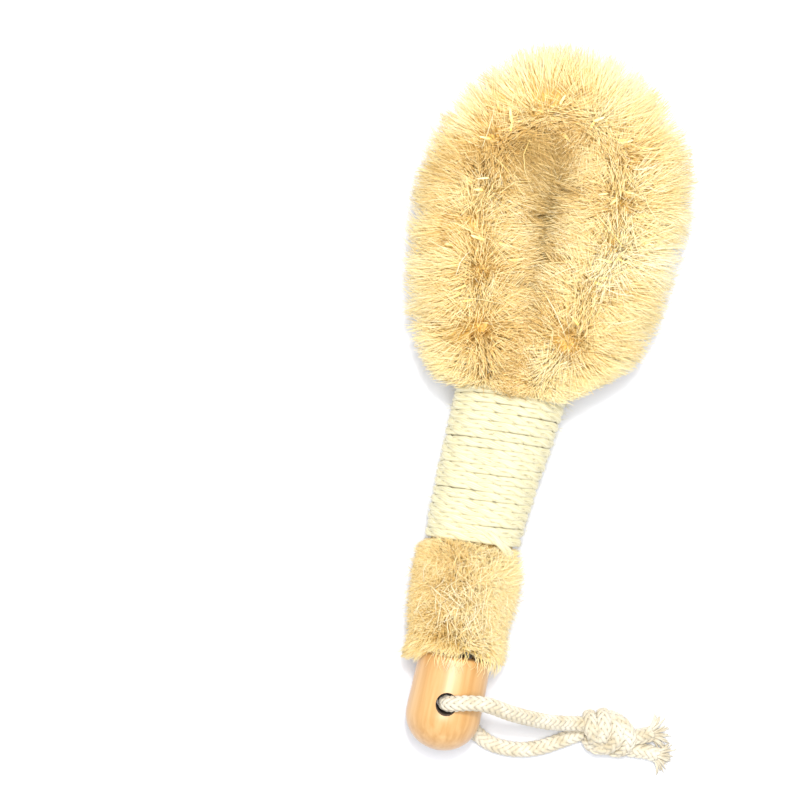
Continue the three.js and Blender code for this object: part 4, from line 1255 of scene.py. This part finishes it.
def grip_pack(side_sign):
    """A half oval carried along the grip: x = a cos(t), z = b sin(t) from the bottom seam over the side to
    the top seam, with flutes a little deeper than a fibre, and back down the flat inside."""
    station = np.linspace(GRIP_START + PACK_END_GAP, GRIP_END - PACK_END_GAP, PACK_ROWS)
    outer = np.linspace(-np.pi / 2, np.pi / 2, PACK_COLUMNS)
    flutes = FLUTE_DEPTH * np.cos(PACK_FLUTES * 2 * outer)[None, :, None]
    axes = grip_half_axes(station, PACK_INSET)[:, None, :] - FLUTE_DEPTH + flutes
    seam = np.full((PACK_ROWS, 1), PACK_SEAM)
    x = np.concatenate([axes[..., 0] * np.cos(outer) + PACK_SEAM, seam], axis=1)
    z = np.concatenate([axes[..., 1] * np.sin(outer), np.zeros((PACK_ROWS, 1))], axis=1)
    y = np.broadcast_to(station[:, None], x.shape)
    rings = in_frame(np.stack([side_sign * x, y, z + wire_height(station)[:, None]], axis=-1))
    points, faces, uv = closed_grid(rings[:, ::-side_sign], rings[[0, -1]].mean(axis=1), PACK_CAP_TONE)
    return points, faces, np.clip(uv, *PACK_TONES)


print("pack inset", round(PACK_INSET, 1), "mm")

# %% [markdown]
# The ruff is longer and flares more at the head than at the collar. Its fibres come from every depth of
# the packs, and those from the outside flare most.

# %% Ruff of crushed ends
RUFF_FIBRES = 3600
RUFF_AT_HEAD = 0.65
RUFF_ROOT = 3.0
RUFF_BEND_SHARE, RUFF_BEND_FLARE = 0.5, 0.1
RUFF_BEND_SPREAD, RUFF_TIP_SPREAD = 0.5 * MM, 0.6 * MM
RUFF_TONE, RUFF_TONE_SPREAD = 0.45, 0.17
RUFF_DEPTH = (0.2, 1.0)
HEAD_FLARE, KNOB_FLARE = (0.0, 9.0), (0.0, 4.5)
HEAD_RUFF, KNOB_RUFF = (4.0, 13.0), (3.0, 9.0)
RUFF_THICKNESS = (0.75, 1.1)

draw = np.random.default_rng(51)
at_head = draw.random(RUFF_FIBRES) < RUFF_AT_HEAD
turn = draw.uniform(-np.pi, np.pi, RUFF_FIBRES)
ring_way = np.stack([np.cos(turn), np.sin(turn)], axis=1)
depth = np.sqrt(draw.uniform(*RUFF_DEPTH, RUFF_FIBRES))[:, None]
edge = np.where(at_head, GRIP_END, GRIP_START)
inside_axes = grip_half_axes(edge, PACK_INSET) * depth
flare = np.where(
    at_head, draw.uniform(*HEAD_FLARE, RUFF_FIBRES), draw.uniform(*KNOB_FLARE, RUFF_FIBRES))
flare = flare[:, None] * depth
reach = np.where(
    at_head, draw.uniform(*HEAD_RUFF, RUFF_FIBRES), -draw.uniform(*KNOB_RUFF, RUFF_FIBRES))


def ruff_points(station, axes):
    """Points on ovals round the grip, in the direction of each fibre."""
    x, z = (ring_way * axes).T
    return in_frame(np.stack([x, station, z + wire_height(station)], axis=1))


root = ruff_points(edge - np.sign(reach) * RUFF_ROOT, inside_axes)
bend = ruff_points(edge + reach * RUFF_BEND_SHARE, inside_axes + RUFF_BEND_FLARE * flare)
bend = bend + draw.normal(0.0, RUFF_BEND_SPREAD, root.shape)
tip = ruff_points(edge + reach, inside_axes + flare) + draw.normal(0.0, RUFF_TIP_SPREAD, root.shape)
tone = np.clip(RUFF_TONE + draw.normal(0.0, RUFF_TONE_SPREAD, RUFF_FIBRES), *TONE_LIMITS)
radius = FIBRE_RADIUS * draw.uniform(*RUFF_THICKNESS, RUFF_FIBRES)
ruff_fibres = (root, bend, tip, radius, tone)
for side_name, sign, chosen in (("left", -1, root[:, 0] < 0), ("right", 1, root[:, 0] >= 0)):
    ruff = stalks(*(values[chosen] for values in ruff_fibres), draw)
    add_piece(f"grip_fibres_{side_name}", f"grip_bristles_{side_name}", [grip_pack(sign), ruff],
              crushed_agave)

# %% [markdown]
# ## The twine finish
# The grip is wound with a cream twine of the same agave, washed and paler, spun from long fibres that
# catch the light in fine lines along each ply. The surface map runs round the ply and along it, so the
# lines follow the twist.

# %% Agave twine
LINES_ROUND_PLY = 22.0
LINE_STRETCH = 3.0
LINE_HEIGHT = 0.12 * MM
twine = new_material("two_ply_agave_twine", Sheen_Weight=0.15, Sheen_Roughness=0.5)
twine_map = add_node(twine, "ShaderNodeUVMap", uv_map="OFBake")
twine_place = add_node(
    twine, "ShaderNodeMapping", {"Vector": twine_map, "Scale": (LINES_ROUND_PLY, LINE_STRETCH, 1.0)})
twine_lines = add_node(twine, "ShaderNodeTexNoise", {"Vector": twine_place, "Scale": 1.0, "Detail": 3.0})
surface(
    twine,
    Base_Color=add_node(twine, "ShaderNodeValToRGB", {"Fac": twine_lines},
                        stops=[(0.28, "#B7AA7A"), (0.45, "#D3CBA4"), (0.7, "#E5E0C8")]),
    Roughness=add_node(twine, "ShaderNodeMapRange", {"Value": twine_lines, "To Min": 0.75, "To Max": 0.45}),
    Normal=add_node(twine, "ShaderNodeBump",
                    {"Height": twine_lines, "Strength": 0.6, "Distance": LINE_HEIGHT}))
print("twine finish")

# %% [markdown]
# ## The winding
# One length of two-ply twine goes round the grip eighteen times and tucks into it at the upper end. Its
# lower end leaves the last turn at a slant and goes under the collar. The middle line is a helix on the
# grip's oval. The turns lie a little askew, and towards the head their tops lean forwards. Two plies wind
# round that line, and short loose fibres stand off it.

# %% Line and plies of the winding
TWINE_TURNS = 18
TWINE_OVERLAP = math.radians(20.0)
TWINE_SPAN = 2 * np.pi * TWINE_TURNS + TWINE_OVERLAP
TWINE_START = math.radians(-80.0)
TWINE_SKEW = (0.05, 0.03)
TWINE_LEAN = 2.2
TWINE_WANDER = ((0.14, 0.83, 0.6), (0.1, 2.37, 0.0), (0.1, 0.31, 2.0))
WANDER_START = 3.0
PLY_OFFSET = (0.45 * MM, 0.84 * MM)
PLY_HALF_HEIGHT = 1.05 * MM
PLY_HALF_WIDTH = (0.82 * MM, 0.7 * MM)
PLY_PITCH = 17.0 * MM
PLY_CORNERS = 12
MAP_STEPS = 32


def winding_line(turned):
    """x = a cos(t), z = b sin(t) on the grip's oval while the station climbs steadily with the turning. The
    station is skewed by x, leans forwards by sin(t) towards the head, and wanders, as hand winding does."""
    climbed = turned / TWINE_SPAN
    station = GRIP_START + TWINE_RADIUS + (GRIP_END - GRIP_START - 2 * TWINE_RADIUS) * turned / TWINE_SPAN
    wander = sum(size * np.sin(pace * turned + start) for size, pace, start in TWINE_WANDER)
    ends = np.clip(np.minimum(turned, TWINE_SPAN - turned) / WANDER_START, 0.0, 1.0)
    axes = grip_half_axes(station, TWINE_RADIUS)
    around = TWINE_START - turned
    x, z = axes[:, 0] * np.cos(around), axes[:, 1] * np.sin(around)
    skew = (TWINE_SKEW[0] + (TWINE_SKEW[1] - TWINE_SKEW[0]) * climbed) * x
    skew = skew + TWINE_LEAN * climbed**3 * np.sin(around)
    return in_frame(np.stack([x, station + wander * ends + skew, z + wire_height(station)], axis=1))


def ply_pair(line, outward, size):
    """Two plies: middle = line + out * a cos(w) + across * b sin(w), w = 2 pi s / pitch (+ pi). A ply is
    squeezed to half the twine's width beside the other one and spreads over all of it on top, by cos(w)
    squared. The map repeats every few steps, so all stretches share it."""
    out, across = square_frame(line, outward)
    twist = 2 * np.pi * line_lengths(line) / PLY_PITCH
    cells = (len(line) - 1) * PLY_CORNERS
    step = np.repeat(np.arange(len(line) - 1), PLY_CORNERS * 2)
    upper = np.tile([[0, 0, 1], [0, 1, 1]], (cells, 1))
    made = []
    for start in (0.0, np.pi):
        rise, shift = np.cos(twist + start)[:, None], np.sin(twist + start)[:, None]
        middle = line + size * (PLY_OFFSET[0] * rise * out + PLY_OFFSET[1] * shift * across)
        half_width = size * (PLY_HALF_WIDTH[0] + PLY_HALF_WIDTH[1] * rise**2)
        points, faces, uv = tube(
            middle, *square_frame(middle, out), size * PLY_HALF_HEIGHT, half_width, PLY_CORNERS)
        uv[:2 * cells, :, 1] = (step[:, None] % MAP_STEPS + upper) / MAP_STEPS
        made.append((points, faces, uv))
    return made


print("turns", TWINE_TURNS)

# %% [markdown]
# Both ends of the winding sink into the grip. The last strand is a short line of its own. The loose
# fibres start on the winding and run along it, one way or the other.

# %% Winding and its loose fibres
STEPS_PER_TURN = 96
OVERLAP_STEPS = 6
TUCK_STEPS = 12
TUCK_DEPTH = 5.0 * MM
LAST_STRAND = in_frame([
    (1.5, 82.4, 31.2), (4, 81.2, 32.6), (6.8, 79.8, 32.8), (9.9, 78, 31.8), (12.4, 76.2, 29.6),
    (14, 74.8, 26.2), (14.2, 73.8, 21.5), (13.4, 73.2, 15)])
LAST_SIZE = 0.95
LAST_STEP = 1.0 * MM
TWINE_FUZZ = 900
TWINE_FUZZ_RADIUS = 0.06 * MM
TWINE_FUZZ_TONE = (0.3, 0.9)
FUZZ_MARGIN = 20
FUZZ_ROOT = 0.9 * MM
FUZZ_BULGE = 0.5 * MM
FUZZ_LENGTH = (1.5, 5.0)
FUZZ_LIFT = (0.0, 1.2)
FUZZ_STRAY = 0.45

winding = winding_line(np.linspace(0.0, TWINE_SPAN, TWINE_TURNS * STEPS_PER_TURN + OVERLAP_STEPS))
axis_height = wire_height(station_of(winding))[:, None] * MM
winding_out = unit(winding * (1, 0, 1) - axis_height * UP)
tuck = np.linspace(0.0, 1.0, TUCK_STEPS)[:, None] ** 2 * TUCK_DEPTH
winding[:TUCK_STEPS] -= winding_out[:TUCK_STEPS] * tuck[::-1]
winding[-TUCK_STEPS:] -= winding_out[-TUCK_STEPS:] * tuck

draw = np.random.default_rng(61)
spot = draw.integers(FUZZ_MARGIN, len(winding) - FUZZ_MARGIN, TWINE_FUZZ)
fuzz_root = winding[spot] + winding_out[spot] * FUZZ_ROOT
fuzz_way = unit(np.gradient(winding, axis=0))[spot] * draw.choice([-1.0, 1.0], TWINE_FUZZ)[:, None]
fuzz_way = unit(fuzz_way + draw.normal(0.0, FUZZ_STRAY, (TWINE_FUZZ, 3)))
fuzz_run = fuzz_way * (draw.uniform(*FUZZ_LENGTH, TWINE_FUZZ)[:, None] * MM)
fuzz_bend = fuzz_root + fuzz_run * 0.5 + winding_out[spot] * FUZZ_BULGE
fuzz_lift = draw.uniform(*FUZZ_LIFT, TWINE_FUZZ)[:, None]
fuzz_tip = fuzz_root + fuzz_run + winding_out[spot] * fuzz_lift * MM
fuzz_tone = draw.uniform(*TWINE_FUZZ_TONE, TWINE_FUZZ)
twine_fuzz = stalks(fuzz_root, fuzz_bend, fuzz_tip, TWINE_FUZZ_RADIUS, fuzz_tone, draw)
last_line = smooth_line(LAST_STRAND, LAST_STEP)
last_out = unit((last_line - (0.0, 0.0, HANDLE_HEIGHT * MM)) * (1, 0, 1))
twine_parts = ply_pair(winding, winding_out, 1.0) + ply_pair(last_line, last_out, LAST_SIZE) + [twine_fuzz]
add_piece("grip_winding", "grip_twine", twine_parts, twine)
print("twine length", round(float(line_lengths(winding)[-1]), 2), "m")

# %% [markdown]
# ## The wires
# Two galvanised wires are twisted together along the whole line. Little shows of them but a grey glint
# between the collar and the knob, and their dull zinc keeps a fine spangle.

# %% Twisted wires
SPANGLE_SIZE = 1.5 * MM
WIRE_RADIUS = 0.8 * MM
WIRE_OFFSET = 0.82 * MM
WIRE_CORNERS = 8
TWIST_PITCH = 9.0 * MM

zinc = new_material("galvanised_steel", Metallic=1.0)
zinc_place = add_node(zinc, "ShaderNodeTexCoord", output="Object")
spangle = add_node(zinc, "ShaderNodeTexVoronoi", {"Vector": zinc_place, "Scale": 1.0 / SPANGLE_SIZE})
surface(
    zinc,
    Base_Color=add_node(zinc, "ShaderNodeValToRGB", {"Fac": spangle},
                        stops=[(0.0, "#8E9296"), (1.0, "#B9BCBE")]),
    Roughness=add_node(zinc, "ShaderNodeMapRange", {"Value": spangle, "To Min": 0.35, "To Max": 0.55}))

wire_turn = 2 * np.pi * wire_travel[::2] / TWIST_PITCH
for name, start in (("a", 0.0), ("b", np.pi)):
    way = turned_by(wire_turn + start, wire_outward[::2], wire_upward[::2])
    strand = wire_line[::2] + way * WIRE_OFFSET
    wire = tube(strand, *square_frame(strand, way), WIRE_RADIUS, WIRE_RADIUS, WIRE_CORNERS)
    add_piece(f"wire_{name}", f"wire_strand_{name}", [wire], zinc, with_uv=False)

# %% [markdown]
# ## The wood finish
# The knob is turned from a pale, close-grained wood such as beech and dipped in clear varnish. The grain
# runs along the knob as faint streaks with short darker flecks, and the varnish lies over it as a smooth
# satin coat. Inside the drilled hole and the sockets the wood is bare, and its dark colour is painted shade
# for the shade that fills them, over a mottle of bare wood.

# %% Varnished beech
STREAK_WIDTH, STREAK_LENGTH = 2.2 * MM, 38.0 * MM
FLECK_WIDTH, FLECK_LENGTH = 0.35 * MM, 3.0 * MM
FLECK_HEIGHT = 0.05 * MM
DRILL_MARK_SIZE = 0.9 * MM

beech = new_material("varnished_beech", Coat_Weight=0.45, Coat_Roughness=0.32, Coat_IOR=1.5)
beech_place = add_node(beech, "ShaderNodeTexCoord", output="Object")


def grain(width, length, detail, distortion):
    """Noise in the beech, drawn out along the knob: its scale is one over the size of a mark."""
    scale = (1 / width, 1 / length, 1 / width)
    place = add_node(beech, "ShaderNodeMapping", {"Vector": beech_place, "Scale": scale})
    return add_node(beech, "ShaderNodeTexNoise",
                    {"Vector": place, "Scale": 1.0, "Detail": detail, "Distortion": distortion})


streaks = grain(STREAK_WIDTH, STREAK_LENGTH, 4.0, 0.4)
flecks = grain(FLECK_WIDTH, FLECK_LENGTH, 2.0, 0.0)
streaked = add_node(beech, "ShaderNodeValToRGB", {"Fac": streaks},
                    stops=[(0.25, "#BD8B4C"), (0.5, "#CA9C61"), (0.75, "#D6AD75")])
fleck_share = add_node(beech, "ShaderNodeMapRange",
                       {"Value": flecks, "From Min": 0.6, "From Max": 0.8, "To Min": 0.0, "To Max": 0.35})
surface(
    beech,
    Base_Color=add_node(beech, "ShaderNodeMix", {0: fleck_share, 6: streaked, 7: linear("#C8924E")},
                        output=2, data_type="RGBA"),
    Roughness=add_node(beech, "ShaderNodeMapRange", {"Value": streaks, "To Min": 0.38, "To Max": 0.5}),
    Normal=add_node(beech, "ShaderNodeBump", {"Height": flecks, "Strength": 0.12, "Distance": FLECK_HEIGHT}))

# Painted shade: the bare wood in the hole and the sockets is coloured dark brown for the shade inside them.
shaded_bore = new_material("bare_beech_painted_shade", Roughness=0.85)
drilled_place = add_node(shaded_bore, "ShaderNodeTexCoord", output="Object")
drill_marks = add_node(
    shaded_bore, "ShaderNodeTexNoise", {"Vector": drilled_place, "Scale": 1.0 / DRILL_MARK_SIZE, "Detail": 3.0})
surface(shaded_bore, Base_Color=add_node(
    shaded_bore, "ShaderNodeValToRGB", {"Fac": drill_marks}, stops=[(0.3, "#4A3D34"), (0.7, "#85705C")]))
print("wood finishes")

# %% [markdown]
# ## The knob
# The knob is turned on a lathe: a domed end, nearly straight sides and a softened top edge. Its profile
# goes round the axis on a grid. The cross hole, flared at both ends, and the two sockets for the wire
# ends are cut from it, and the cutter brings the bare wood with it, painted dark as shade.

# %% Turned knob
KNOB_RADIUS = 13.6
KNOB_TOP_RADIUS = 13.2
KNOB_LENGTH = 35.0
KNOB_EDGE = 1.5
KNOB_DOME = 13.0
DOME_START = 0.03
DOME_RINGS, SIDE_RINGS, EDGE_RINGS = 30, 14, 8
KNOB_CORNERS = 112
HOLE_RADIUS = 4.0
HOLE_INSET = 0.25
HOLE_FLARE = 1.5
FLARE_RINGS = 8
HOLE_FLARE_START, HOLE_FLARE_LENGTH = 11.6, 3.4
HOLE_STATION = 18.0
HOLE_CORNERS = 64
SOCKET_PLACE = 4.4
SOCKET_PROFILE = [(2.2, -8.0), (2.2, 6.0)]
SOCKET_CORNERS = 32
SHARP_ANGLE = math.radians(32.0)


def turned_object(name, material, profile, corners, along, middle):
    """A loose object: a profile of radius and length turned round an axis through a middle point, so that a
    point = middle + along * length + radius * circle."""
    profile = np.asarray(profile, float)
    line = np.asarray(middle, float) + profile[:, 1:] * np.asarray(along, float)
    side = np.broadcast_to((1.0, 0.0, 0.0), line.shape)
    other = np.cross(np.broadcast_to(np.asarray(along, float), line.shape), side)
    radius = profile[:, :1] * MM
    points, faces, _ = tube(in_frame(line), side, other, radius, radius, corners)
    mesh = bpy.data.meshes.new(name)
    mesh.from_pydata(points.tolist(), [], faces.tolist())
    mesh.materials.append(material)
    made = bpy.data.objects.new(name, mesh)
    bpy.context.scene.collection.objects.link(made)
    return made


dome = np.linspace(DOME_START, np.pi / 2, DOME_RINGS)
rounding = np.linspace(0.0, np.pi / 2, EDGE_RINGS)
knob_profile = np.vstack([
    np.column_stack([KNOB_RADIUS * np.sin(dome), KNOB_DOME * (1 - np.cos(dome))]),
    np.column_stack([np.linspace(KNOB_RADIUS, KNOB_TOP_RADIUS, SIDE_RINGS)[1:-1],
                     np.linspace(KNOB_DOME, KNOB_LENGTH - KNOB_EDGE, SIDE_RINGS)[1:-1]]),
    np.column_stack([KNOB_TOP_RADIUS - KNOB_EDGE * (1 - np.cos(rounding)),
                     KNOB_LENGTH - KNOB_EDGE * (1 - np.sin(rounding))])])
knob = turned_object("wooden_knob", beech, knob_profile, KNOB_CORNERS, (0, 1, 0), (0, 0, HANDLE_HEIGHT))
run = np.linspace(0.0, 1.0, FLARE_RINGS)
flare = np.column_stack([HOLE_RADIUS - HOLE_INSET + HOLE_FLARE * run**2,
                         HOLE_FLARE_START + HOLE_FLARE_LENGTH * run])
cutters = [turned_object("hole_cutter", shaded_bore, np.vstack([flare[::-1] * (1, -1), flare]), HOLE_CORNERS,
                         (0, 0, 1), (0, HOLE_STATION, HANDLE_HEIGHT))]
for sign in (-1, 1):
    cutters.append(turned_object("socket_cutter", shaded_bore, SOCKET_PROFILE, SOCKET_CORNERS, (0, 1, 0),
                                 (sign * SOCKET_PLACE, KNOB_LENGTH, HANDLE_HEIGHT)))
for cutter in cutters:
    cut = knob.modifiers.new("cut", "BOOLEAN")
    cut.object = cutter
    cut.solver = "EXACT"
    cut.material_mode = "TRANSFER"
knob_mesh = bpy.data.meshes.new_from_object(knob.evaluated_get(bpy.context.evaluated_depsgraph_get()))
knob.modifiers.clear()
knob.data = knob_mesh
knob_mesh.polygons.foreach_set("use_smooth", np.ones(len(knob_mesh.polygons), bool))
knob_mesh.set_sharp_from_angle(angle=SHARP_ANGLE)
for cutter in cutters:
    bpy.data.objects.remove(cutter)
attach(knob, "brush")
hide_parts("end_knob")
print("knob faces", len(knob_mesh.polygons), "materials", [m.name for m in knob_mesh.materials])
